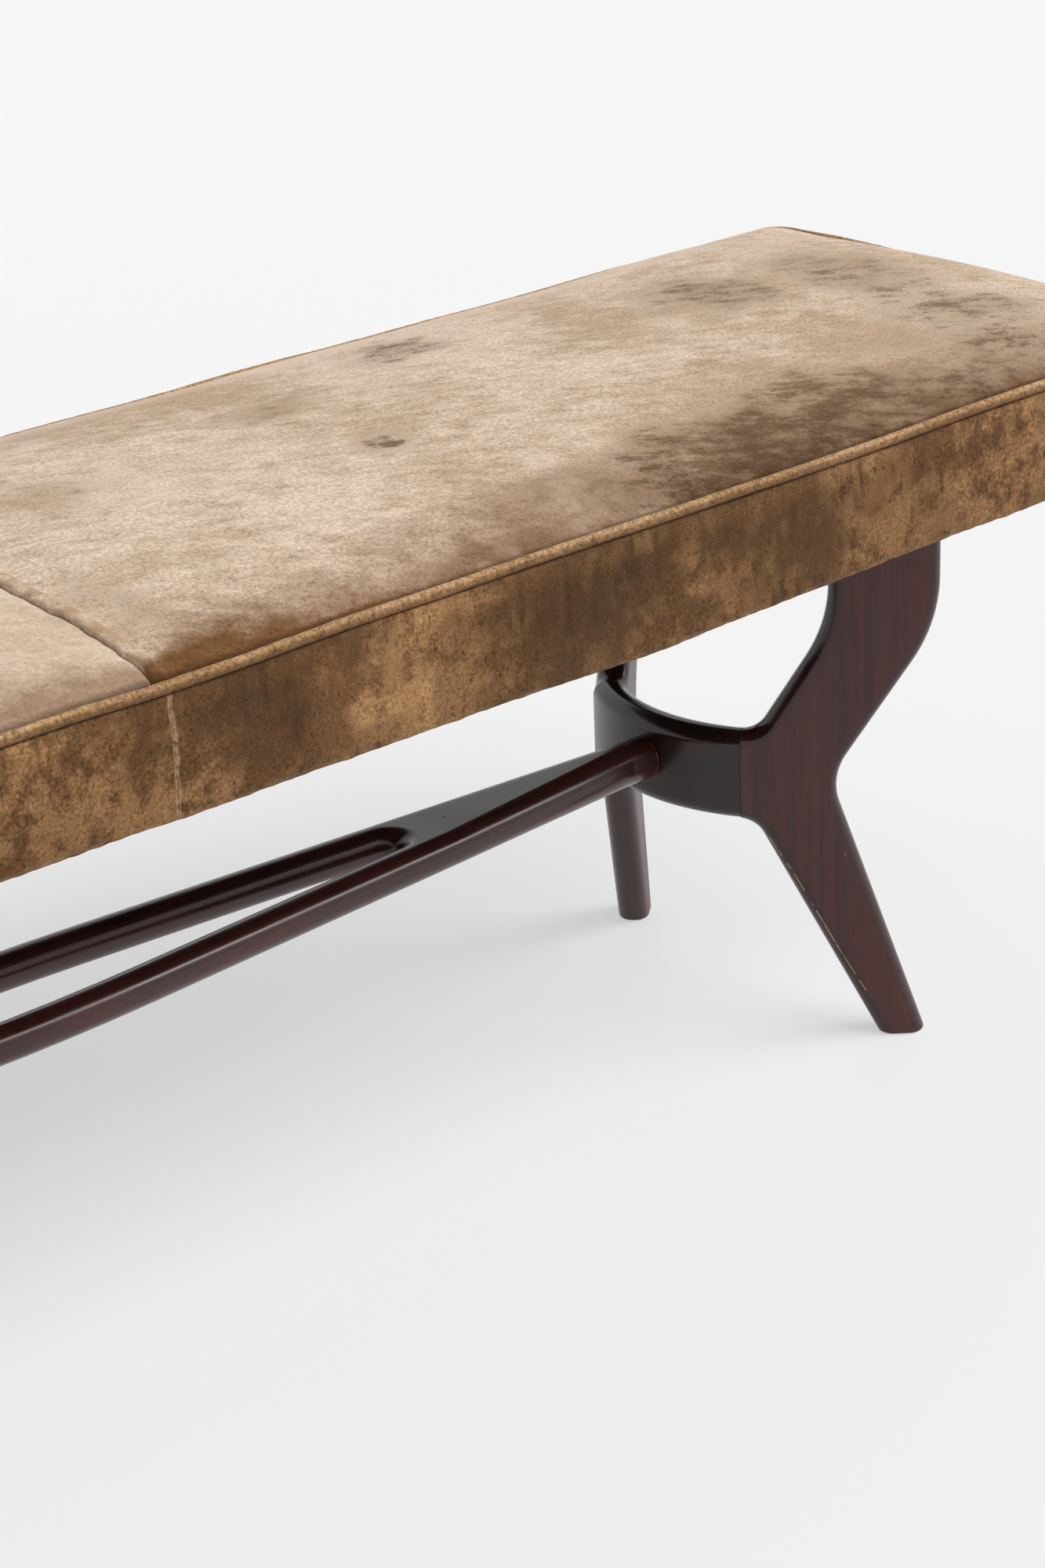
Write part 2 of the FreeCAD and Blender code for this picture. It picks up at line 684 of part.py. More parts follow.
for side_name, side in SIDES:
    body = new_body(side_name + "_rail_bar")
    sketch = new_sketch(body, "XY_Plane", "layout.rail_bottom")
    outer = "%d * layout.inner_y" % side
    inner = "%d * layout.rail_inner_y" % side
    add_outline(sketch, [("-layout.inner_x", outer), ("layout.inner_x", outer),
                         ("layout.inner_x", inner), ("-layout.inner_x", inner)])
    pad(body, sketch, "sizes.rail_height")
    far_y = value(outer)

    def outer_corner(edge):
        spot = edge.CenterOfMass
        return edge.BoundBox.ZLength > 1 and abs(spot.y - far_y) < 0.01

    fillet(body, "layout.pad_radius + 1", outer_corner)
    nodes.append(drilled(side_name + "_rail", body,
                         [item for name, item in rail_tools if name == side_name]))


def tools_between(low, high):
    return [item for px, item in cross_tools if low < value(px) < high]


for end_name, end in ENDS:
    near = "%d * layout.rail_inner_x" % end if end > 0 else "-layout.inner_x"
    bar = box(end_name + "_end_bar", "sizes.rail_thickness", "2 * layout.rail_inner_y",
              "sizes.rail_height + sizes.webbing_thickness", near, "-layout.rail_inner_y",
              "layout.rail_bottom")
    middle = value("%d * (layout.rail_inner_x + sizes.rail_thickness / 2)" % end)
    nodes.append(drilled(end_name + "_end_rail", bar, tools_between(middle - 1, middle + 1)))
    bar = box(end_name + "_bearer_bar", "sizes.bearer_width", "2 * layout.rail_inner_y",
              "sizes.bearer_thickness", "%d * layout.top_x - sizes.bearer_width / 2" % end,
              "-layout.rail_inner_y", "layout.rail_bottom")
    middle = value("%d * layout.top_x" % end)
    reach = value("sizes.bearer_width") / 2
    nodes.append(drilled("bearer_" + end_name, bar,
                         tools_between(middle - reach, middle + reach) + bearer_tools[end_name]))
bar = box("cross_bar", "sizes.cross_rail_thickness", "2 * layout.rail_inner_y",
          "sizes.cross_rail_height", "-sizes.cross_rail_thickness / 2", "-layout.rail_inner_y",
          "layout.rail_bottom")
nodes.append(drilled("centre_cross_rail", bar, tools_between(-1, 1)))
nodes.append(group("frame_dowels", frame_dowels))

blocks = []
for end_name, end in ENDS:
    for side_name, side in SIDES:
        body = new_body("corner_block")
        level = "layout.rail_bottom + (sizes.rail_height - sizes.corner_block_height) / 2"
        sketch = new_sketch(body, "XY_Plane", level)
        px = "%d * layout.rail_inner_x" % end
        py = "%d * layout.rail_inner_y" % side
        add_outline(sketch, [
            (px, py),
            ("%d * (layout.rail_inner_x - sizes.corner_block_leg)" % end, py),
            (px, "%d * (layout.rail_inner_y - sizes.corner_block_leg)" % side),
        ])
        pad(body, sketch, "sizes.corner_block_height")
        blocks.append(body)
nodes.append(group("corner_blocks", blocks))

# Webbing: crosswise straps on the long rails, lengthwise straps over them.
span = value("layout.rail_inner_x") - value("sizes.webbing_width") / 2
count = int(span // value("sizes.webbing_cross_pitch"))
straps = []
for number in range(-count, count + 1):
    straps.append(box(
        "strap", "sizes.webbing_width", "2 * (layout.inner_y - sizes.webbing_edge)",
        "sizes.webbing_thickness",
        "%d * sizes.webbing_cross_pitch - sizes.webbing_width / 2" % number,
        "-(layout.inner_y - sizes.webbing_edge)", "layout.rail_top"))
nodes.append(group("webbing_crosswise", straps))
span = value("layout.rail_inner_y") - value("sizes.webbing_width") / 2
count = int((span - value("sizes.webbing_long_pitch") / 2) // value("sizes.webbing_long_pitch"))
straps = []
for number in range(-count - 1, count + 1):
    straps.append(box(
        "strap", "2 * (layout.inner_x - sizes.webbing_edge)", "sizes.webbing_width",
        "sizes.webbing_thickness", "-(layout.inner_x - sizes.webbing_edge)",
        "%g * sizes.webbing_long_pitch - sizes.webbing_width / 2" % (number + 0.5),
        "layout.rail_top + sizes.webbing_thickness"))
nodes.append(group("webbing_lengthwise", straps))


def rounded_plan(sketch, half_x, half_y, radius):
    """Rectangle with round corners, centred on the origin."""
    points = []
    arcs = {}
    for sx, sy in ((-1, -1), (1, -1), (1, 1), (-1, 1)):
        along = ("%d * (%s - %s)" % (sx, half_x, radius), "%d * %s" % (sy, half_y))
        up = ("%d * %s" % (sx, half_x), "%d * (%s - %s)" % (sy, half_y, radius))
        points += [up, along] if sx == sy else [along, up]
    for index in range(0, 8, 2):
        arcs[index] = (radius, 1)
    add_outline(sketch, points, arcs)


body = new_body("hessian_sheet")
sketch = new_sketch(body, "XY_Plane", "layout.web_top")
rounded_plan(sketch, "(layout.inner_x - sizes.hessian_edge)", "(layout.inner_y - sizes.hessian_edge)",
             "layout.pad_radius")
pad(body, sketch, "sizes.hessian_thickness")
nodes.append(body)

# Dust cover, pierced where the legs pass.
body = new_body("dust_cover")
sketch = new_sketch(body, "XY_Plane", "sizes.seat_underside - sizes.dust_cover_thickness")
rounded_plan(sketch, "(layout.band_x - sizes.dust_cover_inset)",
             "(layout.band_y - sizes.dust_cover_inset)", "sizes.dust_cover_inset")
half_long = "(sizes.leg_top_width / 2 + 1)"
half_thick = "(sizes.leg_thickness / 2 + 1)"
for end_name, end in ENDS:
    for side_name, side in SIDES:
        corners = []
        for along, across in ((-1, -1), (1, -1), (1, 1), (-1, 1)):
            long_way = "%d * %s" % (along, half_long)
            thick_way = "%d * %s" % (across, half_thick)
            px = "%d * (layout.top_x + %s * cos(sizes.leg_angle) - %s * sin(sizes.leg_angle))" % (
                end, long_way, thick_way)
            py = "%d * (layout.top_y + %s * sin(sizes.leg_angle) + %s * cos(sizes.leg_angle))" % (
                side, long_way, thick_way)
            corners.append((px, py))
        add_outline(sketch, corners)
pad(body, sketch, "sizes.dust_cover_thickness")
nodes.append(body)

# Straight bands, each with its hem turned under the rail.
for side_name, side in SIDES:
    for end_name, end in ENDS:
        body = new_body("band_%s_%s" % (side_name, end_name))
        seam = "sizes.front_seam" if side < 0 else "0"
        sketch = new_sketch(body, "YZ_Plane", seam)
        low = "sizes.seat_underside"
        high = "sizes.seat_underside + sizes.band_height"
        face = "%d * layout.band_y" % side
        back = "%d * layout.inner_y" % side
        hem = "%d * (layout.band_y - sizes.hem_width)" % side
        add_outline(sketch, [(face, low), (face, high), (back, high), (back, "layout.rail_bottom"),
                             (hem, "layout.rail_bottom"), (hem, low)])
        feature = pad(body, sketch, "layout.straight_x - %d * %s" % (end, seam))
        feature.Reversed = end < 0
        doc.recompute()
        nodes.append(body)


def end_plan(sketch, end, wall, square):
    """Plan of an end band: straight across the end, round the corners, to the side bands."""
    flip = 1 if end > 0 else -1
    sx = "%d * layout.straight_x" % flip
    fx = "%d * layout.band_x" % flip
    ix = "%d * (layout.band_x - %s)" % (flip, wall)
    iy = "(layout.band_y - %s)" % wall
    outer = [(sx, "-layout.band_y"), (fx, "-layout.straight_y"), (fx, "layout.straight_y"),
             (sx, "layout.band_y")]
    arcs = {0: ("layout.band_radius", flip), 2: ("layout.band_radius", flip)}
    if square:
        points = outer + [(sx, iy), (ix, iy), (ix, "-" + iy), (sx, "-" + iy)]
    else:
        points = outer + [(sx, iy), (ix, "layout.straight_y"), (ix, "-layout.straight_y"),
                          (sx, "-" + iy)]
        arcs[4] = ("layout.band_radius - %s" % wall, -flip)
        arcs[6] = ("layout.band_radius - %s" % wall, -flip)
    add_outline(sketch, points, arcs)


for end_name, end in ENDS:
    body = new_body("band_end_" + end_name)
    sketch = new_sketch(body, "XY_Plane", "sizes.seat_underside")
    end_plan(sketch, end, "sizes.band_wall", False)
    pad(body, sketch, "sizes.band_height")
    sketch = new_sketch(body, "XY_Plane", "sizes.seat_underside")
    end_plan(sketch, end, "sizes.hem_width", True)
    pad(body, sketch, "sizes.hem_thickness")
    nodes.append(body)

# Piping: a round cord in the cover cloth along the seat's top edge.
body = new_body("piping")
spine = new_sketch(body, "XY_Plane", "layout.piping_z")
rounded_plan(spine, "layout.piping_x", "layout.piping_y", "layout.piping_radius")
section = new_sketch(body, "YZ_Plane")
add_circle(section, "-layout.piping_y", "layout.piping_z", "sizes.piping_diameter / 2")
pipe = body.newObject("PartDesign::AdditivePipe", "pipe")
pipe.Profile = section
pipe.Spine = spine
doc.recompute()
nodes.append(body)


def crown_section(body, px, lift, grow, bottom, half_width, share, drop):
    """Cross-section of the crowned seat at a place along the bench.

    share is how much of the crown is reached there, grow moves the top outward, and drop
    is how far the side runs down below the shoulder's foot."""
    sketch = new_sketch(body, "YZ_Plane", px)
    foot = "(layout.cover_z - sizes.cover_thickness - sizes.soft_clearance + %s)" % grow
    narrow = "(%s)" % lift
    shoulder_y = "(%s - sizes.shoulder_width)" % narrow
    shoulder_z = "(%s + %s * sizes.shoulder_rise)" % (foot, share)
    crown = "(%s * sizes.crown_rise + 0.4)" % share
    crown_radius = "((%s ^ 2 + %s ^ 2) / (2 * %s))" % (shoulder_y, crown, crown)
    chord = "sqrt(sizes.shoulder_width ^ 2 + (%s * sizes.shoulder_rise) ^ 2)" % share
    shoulder_radius = "(1.3 * %s)" % chord
    points = [
        ("-" + half_width, bottom),
        (half_width, bottom),
        (half_width, "%s + %s" % (bottom, drop)),
        (narrow, foot),
        (shoulder_y, shoulder_z),
        ("-" + shoulder_y, shoulder_z),
        ("-" + narrow, foot),
        ("-" + half_width, "%s + %s" % (bottom, drop)),
    ]
    add_outline(sketch, points, {3: (shoulder_radius, 1), 4: (crown_radius, 1), 5: (shoulder_radius, 1)})
    return sketch


def crown_loft(kind, body, stations, **section):
    """Loft through the cross-sections at the given places."""
    made = [crown_section(body, px, share=share, **section) for px, share in stations]
    loft = body.newObject("PartDesign::" + kind, "crown")
    loft.Profile = made[0]
    loft.Sections = made[1:]
    loft.Ruled = True
    doc.recompute()
    return loft


# How much of the crown is reached at each place from the middle to the end.
REACHED = (
    ("0", "1"),
    ("(layout.cover_x - sizes.end_fall)", "0.96"),
    ("(layout.cover_x - 0.6 * sizes.end_fall)", "0.9"),
    ("(layout.cover_x - 0.3 * sizes.end_fall)", "0.8"),
    ("(layout.cover_x - 2 * sizes.shoulder_width)", "0.69"),
    ("(layout.cover_x - sizes.shoulder_width)", "0.52"),
    ("(layout.cover_x - sizes.shoulder_width / 2)", "0.34"),
    ("layout.cover_x", "0.04"),
)


def stations(sign):
    return [("%d * %s" % (sign, px), share) for px, share in REACHED]


def trim_plan(body, half_x, half_y, radius, low):
    """Cut the corners of a crowned piece round in plan."""
    sketch = new_sketch(body, "XY_Plane", low + " - 1")
    rounded_plan(sketch, half_x, half_y, radius)
    big_x = "sizes.seat_length"
    big_y = "sizes.seat_depth"
    add_outline(sketch, [("-" + big_x, "-" + big_y), (big_x, "-" + big_y), (big_x, big_y),
                         ("-" + big_x, big_y)])
    pocket(body, sketch, reverse=True)


body = new_body("seat_pad")
whole = [item for item in reversed(stations(-1))] + stations(1)[1:]
crown_loft("AdditiveLoft", body, whole, lift="layout.cover_y", grow="0",
           bottom="layout.pad_bottom", half_width="layout.pad_y", drop="sizes.pad_straight_side")
trim_plan(body, "layout.cover_x", "layout.pad_y", "layout.pad_radius + 1", "layout.pad_bottom")
nodes.append(body)

for end_name, end in ENDS:
    body = new_body("cover_top_" + end_name)
    skirt = "(layout.cover_z - 2 * sizes.cover_thickness)"
    crown_loft("AdditiveLoft", body, stations(end), lift="layout.cover_y",
               grow="sizes.cover_thickness + sizes.soft_clearance", bottom=skirt,
               half_width="layout.cover_y", drop="sizes.cover_thickness / 2")
    crown_loft("SubtractiveLoft", body, stations(end),
               lift="layout.cover_y + sizes.soft_clearance", grow="sizes.soft_clearance",
               bottom="(%s - sizes.cover_thickness)" % skirt,
               half_width="(layout.cover_y + sizes.soft_clearance)",
               drop="sizes.cover_thickness / 2")
    trim_plan(body, "layout.cover_x", "layout.cover_y", "layout.cover_radius", skirt)
    nodes.append(body)

doc.recompute()

# Every object has to be sound before anything is written.
for item in doc.Objects:
    bad = [state for state in item.State if state in ("Invalid", "Error")]
    if bad:
        raise RuntimeError("%s (%s) failed: %s" % (item.Name, item.Label, bad))
for item in nodes:
    if item.Shape.isNull() or not item.Shape.isValid() or not item.Shape.Solids:
        raise RuntimeError("%s has no sound shape" % item.Label)

os.makedirs("parts", exist_ok=True)
for item in nodes:
    item.Shape.exportStep(os.path.join("parts", item.Label + ".step"))
    box_now = item.Shape.BoundBox
    print("%-22s solids %2d volume %10.0f  x %.1f..%.1f y %.1f..%.1f z %.1f..%.1f" % (
        item.Label, len(item.Shape.Solids), item.Shape.Volume, box_now.XMin, box_now.XMax,
        box_now.YMin, box_now.YMax, box_now.ZMin, box_now.ZMax))
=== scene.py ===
"""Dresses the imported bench: worn velvet seat, polished wood under it, and a plain studio."""

import contextlib
import functools
import math

import bpy
import numpy as np
from bpy.props import FloatProperty, FloatVectorProperty, PointerProperty
from mathutils import Matrix, Vector, noise


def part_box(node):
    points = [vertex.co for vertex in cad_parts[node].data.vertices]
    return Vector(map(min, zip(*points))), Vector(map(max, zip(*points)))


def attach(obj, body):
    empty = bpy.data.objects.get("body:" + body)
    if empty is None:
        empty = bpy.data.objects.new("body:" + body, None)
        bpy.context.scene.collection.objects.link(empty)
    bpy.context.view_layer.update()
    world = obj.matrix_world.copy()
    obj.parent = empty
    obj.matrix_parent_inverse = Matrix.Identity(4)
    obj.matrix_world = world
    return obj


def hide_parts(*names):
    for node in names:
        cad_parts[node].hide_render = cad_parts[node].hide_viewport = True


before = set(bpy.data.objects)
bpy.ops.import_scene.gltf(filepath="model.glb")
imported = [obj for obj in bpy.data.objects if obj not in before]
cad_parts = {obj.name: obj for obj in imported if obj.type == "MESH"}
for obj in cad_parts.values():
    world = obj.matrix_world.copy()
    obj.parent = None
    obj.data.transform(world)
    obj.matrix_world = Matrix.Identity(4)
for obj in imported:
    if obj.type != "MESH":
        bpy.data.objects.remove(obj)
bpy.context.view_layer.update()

bl_info = {
    "name": "Upholstered Bench",
    "version": (1, 0, 0),
    "blender": (4, 5, 0),
    "location": "View3D > Sidebar > Bench",
    "description": "Velvet seat, polished wood and studio for the bench",
    "category": "Object",
}

BODY = "root"
MM = 0.001

# Places of the seat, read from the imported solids.
BAND_LOW, BAND_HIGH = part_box("band_front_right")[:2]
PIPING_LOW, PIPING_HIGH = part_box("piping")[:2]
SHEET_LOW, SHEET_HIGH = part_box("dust_cover")[:2]
UNDERSIDE = BAND_LOW.z
BAND_TOP = BAND_HIGH.z
BAND_Y = -BAND_LOW.y
BAND_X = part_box("band_end_right")[1].x
BAND_RADIUS = BAND_X - BAND_HIGH.x
FRONT_SEAM_X = BAND_LOW.x
PIPING_RADIUS = (PIPING_HIGH.z - PIPING_LOW.z) / 2
PIPING_Z = (PIPING_HIGH.z + PIPING_LOW.z) / 2
PIPING_X = PIPING_HIGH.x - PIPING_RADIUS
PIPING_Y = PIPING_HIGH.y - PIPING_RADIUS
CORD = 2.9 * MM
SEWN_GAP = 0.2 * MM
COVER_X = PIPING_X - CORD - SEWN_GAP
COVER_Y = PIPING_Y - CORD - SEWN_GAP
COVER_EDGE_Z = PIPING_Z + 1.0 * MM
SHEET_Z = SHEET_LOW.z
SHEET_X = SHEET_HIGH.x
SHEET_Y = SHEET_HIGH.y

# Where a leg is mitred to its yoke, the way that joint faces in plan, and the leg's own turn.
JOINT = (537.1 * MM, 60.8 * MM)
JOINT_TURN = math.radians(49.95)
LEG_TURN = math.radians(40)


# Settings


def amount(name, description, default, low=0.0, **more):
    return FloatProperty(name=name, description=description, default=default, min=low, **more)


def measure(name, description, default, low=0.0):
    """A length, given in millimetres."""
    return amount(name, description, default * MM, low * MM, unit="LENGTH")


def factor(name, description, default):
    return amount(name, description, default, max=1.0, subtype="FACTOR")


def angle(name, description, degrees):
    return FloatProperty(name=name, description=description, default=math.radians(degrees),
                         subtype="ANGLE")


def tint(name, description, *default):
    return FloatVectorProperty(name=name, description=description, default=default,
                               subtype="COLOR", min=0.0, max=1.0)


class BenchVelvetSettings(bpy.types.PropertyGroup):
    """Sizes and colours of the velvet seat."""

    crown: measure("Crown", "Rise of the seat's middle above its shoulder", 12.8)
    shoulder_rise: measure("Shoulder Rise", "Height of the roll beside the piping", 10.6)
    shoulder_width: measure("Shoulder Width", "Width of the roll beside the piping", 22, 1)
    swell: measure("Swell", "Furthest that the stuffing may push the cloth out", 6)
    band_fullness: measure("Band Fullness", "How far the side bands belly out", 1.8)
    seam_lap: measure("Seam Lap", "Width of the raised lap beside the cross seam", 9, 1)
    pile_depth: factor("Pile Depth", "Contrast of the fine pile", 0.34)
    worn_edge: tint("Worn Edge", "Threads bared along seams and hems", 0.42, 0.27, 0.15)
    roll_shade: tint("Roll Shade", "How much darker the nap looks where the seat rolls over",
                     0.27, 0.16, 0.07)
    # The top's tones are far paler than the bands': partly the nap's own lie, partly painted sheen
    # of nap seen at a low angle.
    top_pale: tint("Top Pale", "Nap brushed towards the light", 0.74, 0.578, 0.45)
    top_mid: tint("Top Middle", "Nap at rest", 0.5, 0.35, 0.23)
    top_dark: tint("Top Dark", "Crushed and worn nap", 0.16, 0.083, 0.033)
    side_pale: tint("Side Pale", "Lightest nap of the bands", 0.245, 0.127, 0.053)
    side_mid: tint("Side Middle", "Common nap of the bands", 0.105, 0.049, 0.019)
    side_dark: tint("Side Dark", "Deepest nap of the bands", 0.045, 0.02, 0.008)
    piping_pale: tint("Piping Pale", "Lightest nap of the piping", 0.47, 0.29, 0.155)
    piping_mid: tint("Piping Middle", "Common nap of the piping", 0.36, 0.21, 0.1)


class BenchWoodSettings(bpy.types.PropertyGroup):
    """Colours and gloss of the polished wood."""

    red: tint("Red Grain", "Lighter red streaks under the polish", 0.095, 0.018, 0.013)
    dark: tint("Dark Grain", "Dark brown of the wood under the polish", 0.032, 0.0075, 0.006)
    bare: tint("Bare Wood", "Wood that shows where the polish is chipped", 0.42, 0.25, 0.15)
    gloss: factor("Roughness", "Roughness of the polish on rounded edges", 0.2)


class BenchStageSettings(bpy.types.PropertyGroup):
    """Camera and light of the studio."""

    lens: amount("Lens", "Focal length in millimetres", 81.453, 10.0)
    azimuth: angle("Azimuth", "Camera's turn round the bench", -40.89)
    elevation: angle("Elevation", "Camera's angle above the floor", 23.24)
    roll: angle("Roll", "Camera's tilt about its own line of sight", -2.17)
    place: FloatVectorProperty(
        name="Place", description="Where the camera stands",
        default=(-0.92164, -1.53278, 1.0721), subtype="TRANSLATION", unit="LENGTH")
    sky: amount("Sky", "Strength of the even light from all round", 0.34)
    key: amount("Key", "Strength of the wide soft light from the front and right", 3.0)
    floor: tint("Floor", "Colour of the paper floor", 0.9, 0.9, 0.9)


# Mesh helpers


def activate(piece):
    """Select one piece alone."""
    bpy.ops.object.select_all(action="DESELECT")
    piece.select_set(True)
    bpy.context.view_layer.objects.active = piece


@contextlib.contextmanager
def edit_mode(piece):
    activate(piece)
    bpy.ops.object.mode_set(mode="EDIT")
    yield
    bpy.ops.object.mode_set(mode="OBJECT")


def select_open_edges():
    bpy.ops.mesh.select_mode(type="EDGE")
    bpy.ops.mesh.select_all(action="DESELECT")
    bpy.ops.mesh.select_non_manifold(extend=False)


def face_outwards():
    bpy.ops.mesh.select_all(action="SELECT")
    bpy.ops.mesh.normals_make_consistent(inside=False)


def coords_of(piece):
    flat = np.empty(len(piece.data.vertices) * 3)
    piece.data.vertices.foreach_get("co", flat)
    return flat.reshape(-1, 3)


def set_coords(piece, points):
    piece.data.vertices.foreach_set("co", np.asarray(points, float).ravel())
    piece.data.update()


def cloth_grid(name, columns, rows):
    """A flat grid of one by one, with its UV map, ready to be laid."""
    bpy.ops.object.select_all(action="DESELECT")
    bpy.ops.mesh.primitive_grid_add(x_subdivisions=columns, y_subdivisions=rows, size=1.0)
    piece = bpy.context.object
    piece.name = name
    piece.data.name = name
    return piece


def grid_places(piece):
    """Each vertex's share along and across its grid, from 0 to 1."""
    points = coords_of(piece)
    return points[:, 0] + 0.5, points[:, 1] + 0.5


def apply_all(piece):
    activate(piece)
    for modifier in list(piece.modifiers):
        bpy.ops.object.modifier_apply(modifier=modifier.name)


def close_tube(piece):
    """Merge the grid's two long edges and cap its open ends."""
    with edit_mode(piece):
        bpy.ops.mesh.select_all(action="SELECT")
        bpy.ops.mesh.remove_doubles(threshold=0.02 * MM)
        select_open_edges()
        bpy.ops.mesh.fill_holes(sides=0)
        face_outwards()


def smooth(piece, degrees):
    activate(piece)
    bpy.ops.object.shade_smooth_by_angle(angle=math.radians(degrees))


def give(piece, material):
    piece.data.materials.clear()
    piece.data.materials.append(material)


# How far each seed moves the noise along the axes.
SEED_STEP = (17.3, 9.1, 5.7)


def ripple(points, *layers):
    """Soft noise at each point, added up from layers of (strength, waves per metre, seed)."""
    height = 0.0
    for strength, scale, seed in layers:
        shift = Vector([seed * step for step in SEED_STEP])
        height = height + strength * np.array(
            [noise.noise(Vector(p) * scale + shift) for p in points])
    return height


def smoothstep(low, high, x):
    t = np.clip((x - low) / (high - low), 0.0, 1.0)
    return t * t * (3 - 2 * t)


def bell(x, at, width):
    return np.exp(-((x - at) / width) ** 2)


# The seat's plan


class SeatPath:
    """Rounded rectangle run round anticlockwise from the front's right-hand straight end."""

    touch = 1e-12

    def __init__(self, half_x, half_y, radius):
        self.half = (half_x, half_y)
        self.radius = radius
        sx, sy = half_x - radius, half_y - radius
        quarter = math.pi / 2 * radius
        self.runs = [quarter, 2 * sy, quarter, 2 * sx, quarter, 2 * sy, quarter, 2 * sx]
        self.ends = np.cumsum(self.runs)
        self.length = float(self.ends[-1])
        self.centres = [(sx, -sy), (sx, sy), (-sx, sy), (-sx, -sy)]

    def at(self, s):
        """Point and outward normal at each distance along the path."""
        s = np.mod(np.asarray(s, float), self.length)
        point = np.zeros((len(s), 2))
        out = np.zeros((len(s), 2))
        start = 0.0
        for index, run in enumerate(self.runs):
            on = (s >= start - self.touch) & (s <= start + run + self.touch)
            corner = np.array(self.centres[index // 2])
            first = -math.pi / 2 + (index // 2) * math.pi / 2
            t = s[on] - start
            if index % 2 == 0:
                turn = first + t / self.radius
                normal = np.stack([np.cos(turn), np.sin(turn)], 1)
                point[on] = corner + self.radius * normal
            else:
                turn = first + math.pi / 2
                normal = np.array([math.cos(turn), math.sin(turn)])
                along = np.array([-math.sin(turn), math.cos(turn)])
                point[on] = corner + self.radius * normal + t[:, None] * along
            out[on] = normal
            start += run
        return point, out

    def front(self, x):
        """Distance along the path of a place on the front straight."""
        return self.ends[6] + (x + self.half[0] - self.radius)

    def rear(self, x):
        return self.ends[2] + (self.half[0] - self.radius - x)


# Rise of the front's sewn edge, and fall of its hem, in millimetres at places along the bench.
FRONT_EDGE = (
    (-0.84, 0.3), (-0.5, -0.4), (-0.25, 0.5), (-0.05, 0.3), (0.0, -1.1), (0.05, -0.6), (0.12, 1.0),
    (0.25, 2.0), (0.34, 1.4), (0.44, 1.2), (0.52, 2.2), (0.6, 3.8), (0.66, 4.2), (0.74, 2.5),
    (0.84, 0.5))
FRONT_HEM = (
    (-0.84, 0.0), (-0.4, 1.0), (-0.1, 1.0), (0.06, 2.5), (0.2, 3.2), (0.34, 6.0), (0.42, 3.6),
    (0.48, 2.6), (0.56, 1.0), (0.66, 0.2), (0.84, 0.0))
# Millimetres to either side over which those are smoothed.
FRONT_BLUR = (-9, -4.5, 0, 4.5, 9)
# Gentle waves of the whole sewn edge: millimetres, radians per metre along and across, and phase.
EDGE_WAVES = ((0.4, 19, 0, 0.6), (0.3, 41, 23, 1.1))


def frontness(y):
    """From 0 at the middle of the seat to 1 at its front."""
    return smoothstep(0.05, 0.19, -y)


def along_front(places, x):
    """Smooth value between measured places."""
    far, much = np.array(places).T
    return MM * np.mean([np.interp(x + d * MM, far, much) for d in FRONT_BLUR], axis=0)


def edge_wave(x, y):
    """How far the sewn edge wanders up or down there."""
    front = frontness(y)
    wave = MM * sum(much * np.sin(x * along + y * across + phase)
                    for much, along, across, phase in EDGE_WAVES)
    return front * along_front(FRONT_EDGE, x) + (1 - 0.6 * front) * wave


# The padded top

# Share of the crown that is reached at a distance from the seat's end, in millimetres.
END_RISE = ((0, 0.02), (8.5, 0.36), (17, 0.53), (34, 0.69), (63, 0.8), (126, 0.9), (210, 0.96),
            (840, 1.0))
# Wander of the cross seam: millimetres to either side, and radians per metre across the seat.
SEAM_WANDER = ((0.9, 34), (0.5, 83), (0.45, 187), (0.3, 409))


def top_height(x, y, settings):
    """Height of the stuffed seat over its sewn edge."""
    from_side = np.clip(COVER_Y - np.abs(y), 0, None)
    inner = COVER_Y - settings.shoulder_width
    roll = settings.shoulder_rise * np.sqrt(
        1 - np.clip(1 - from_side / settings.shoulder_width, 0, 1) ** 2)
    crown = settings.crown * np.clip(1 - (np.abs(y) / inner) ** 2, 0, None)
    far, reached = np.array(END_RISE).T
    share = np.interp(np.clip(COVER_X - np.abs(x), 0, None), far * MM, reached)
    return share * (roll + crown)


def round_corner(x, y, half_x, half_y, radius):
    """Draw the square corners of a plan round."""
    px = np.clip(np.abs(x) - (half_x - radius), 0, None) / radius
    py = np.clip(np.abs(y) - (half_y - radius), 0, None) / radius
    both = (px > 0) & (py > 0)
    nx = px * np.sqrt(np.clip(1 - py ** 2 / 2, 0, 1))
    ny = py * np.sqrt(np.clip(1 - px ** 2 / 2, 0, 1))
    x = np.where(both, np.sign(x) * (half_x - radius + nx * radius), x)
    y = np.where(both, np.sign(y) * (half_y - radius + ny * radius), y)
    return x, y


def spread(count, fine, half):
    """Grid lines from -half to half, closer together near both ends."""
    t = np.linspace(-1, 1, count + 1)
    return half * (np.sign(t) * (1 - (1 - np.abs(t)) ** fine))


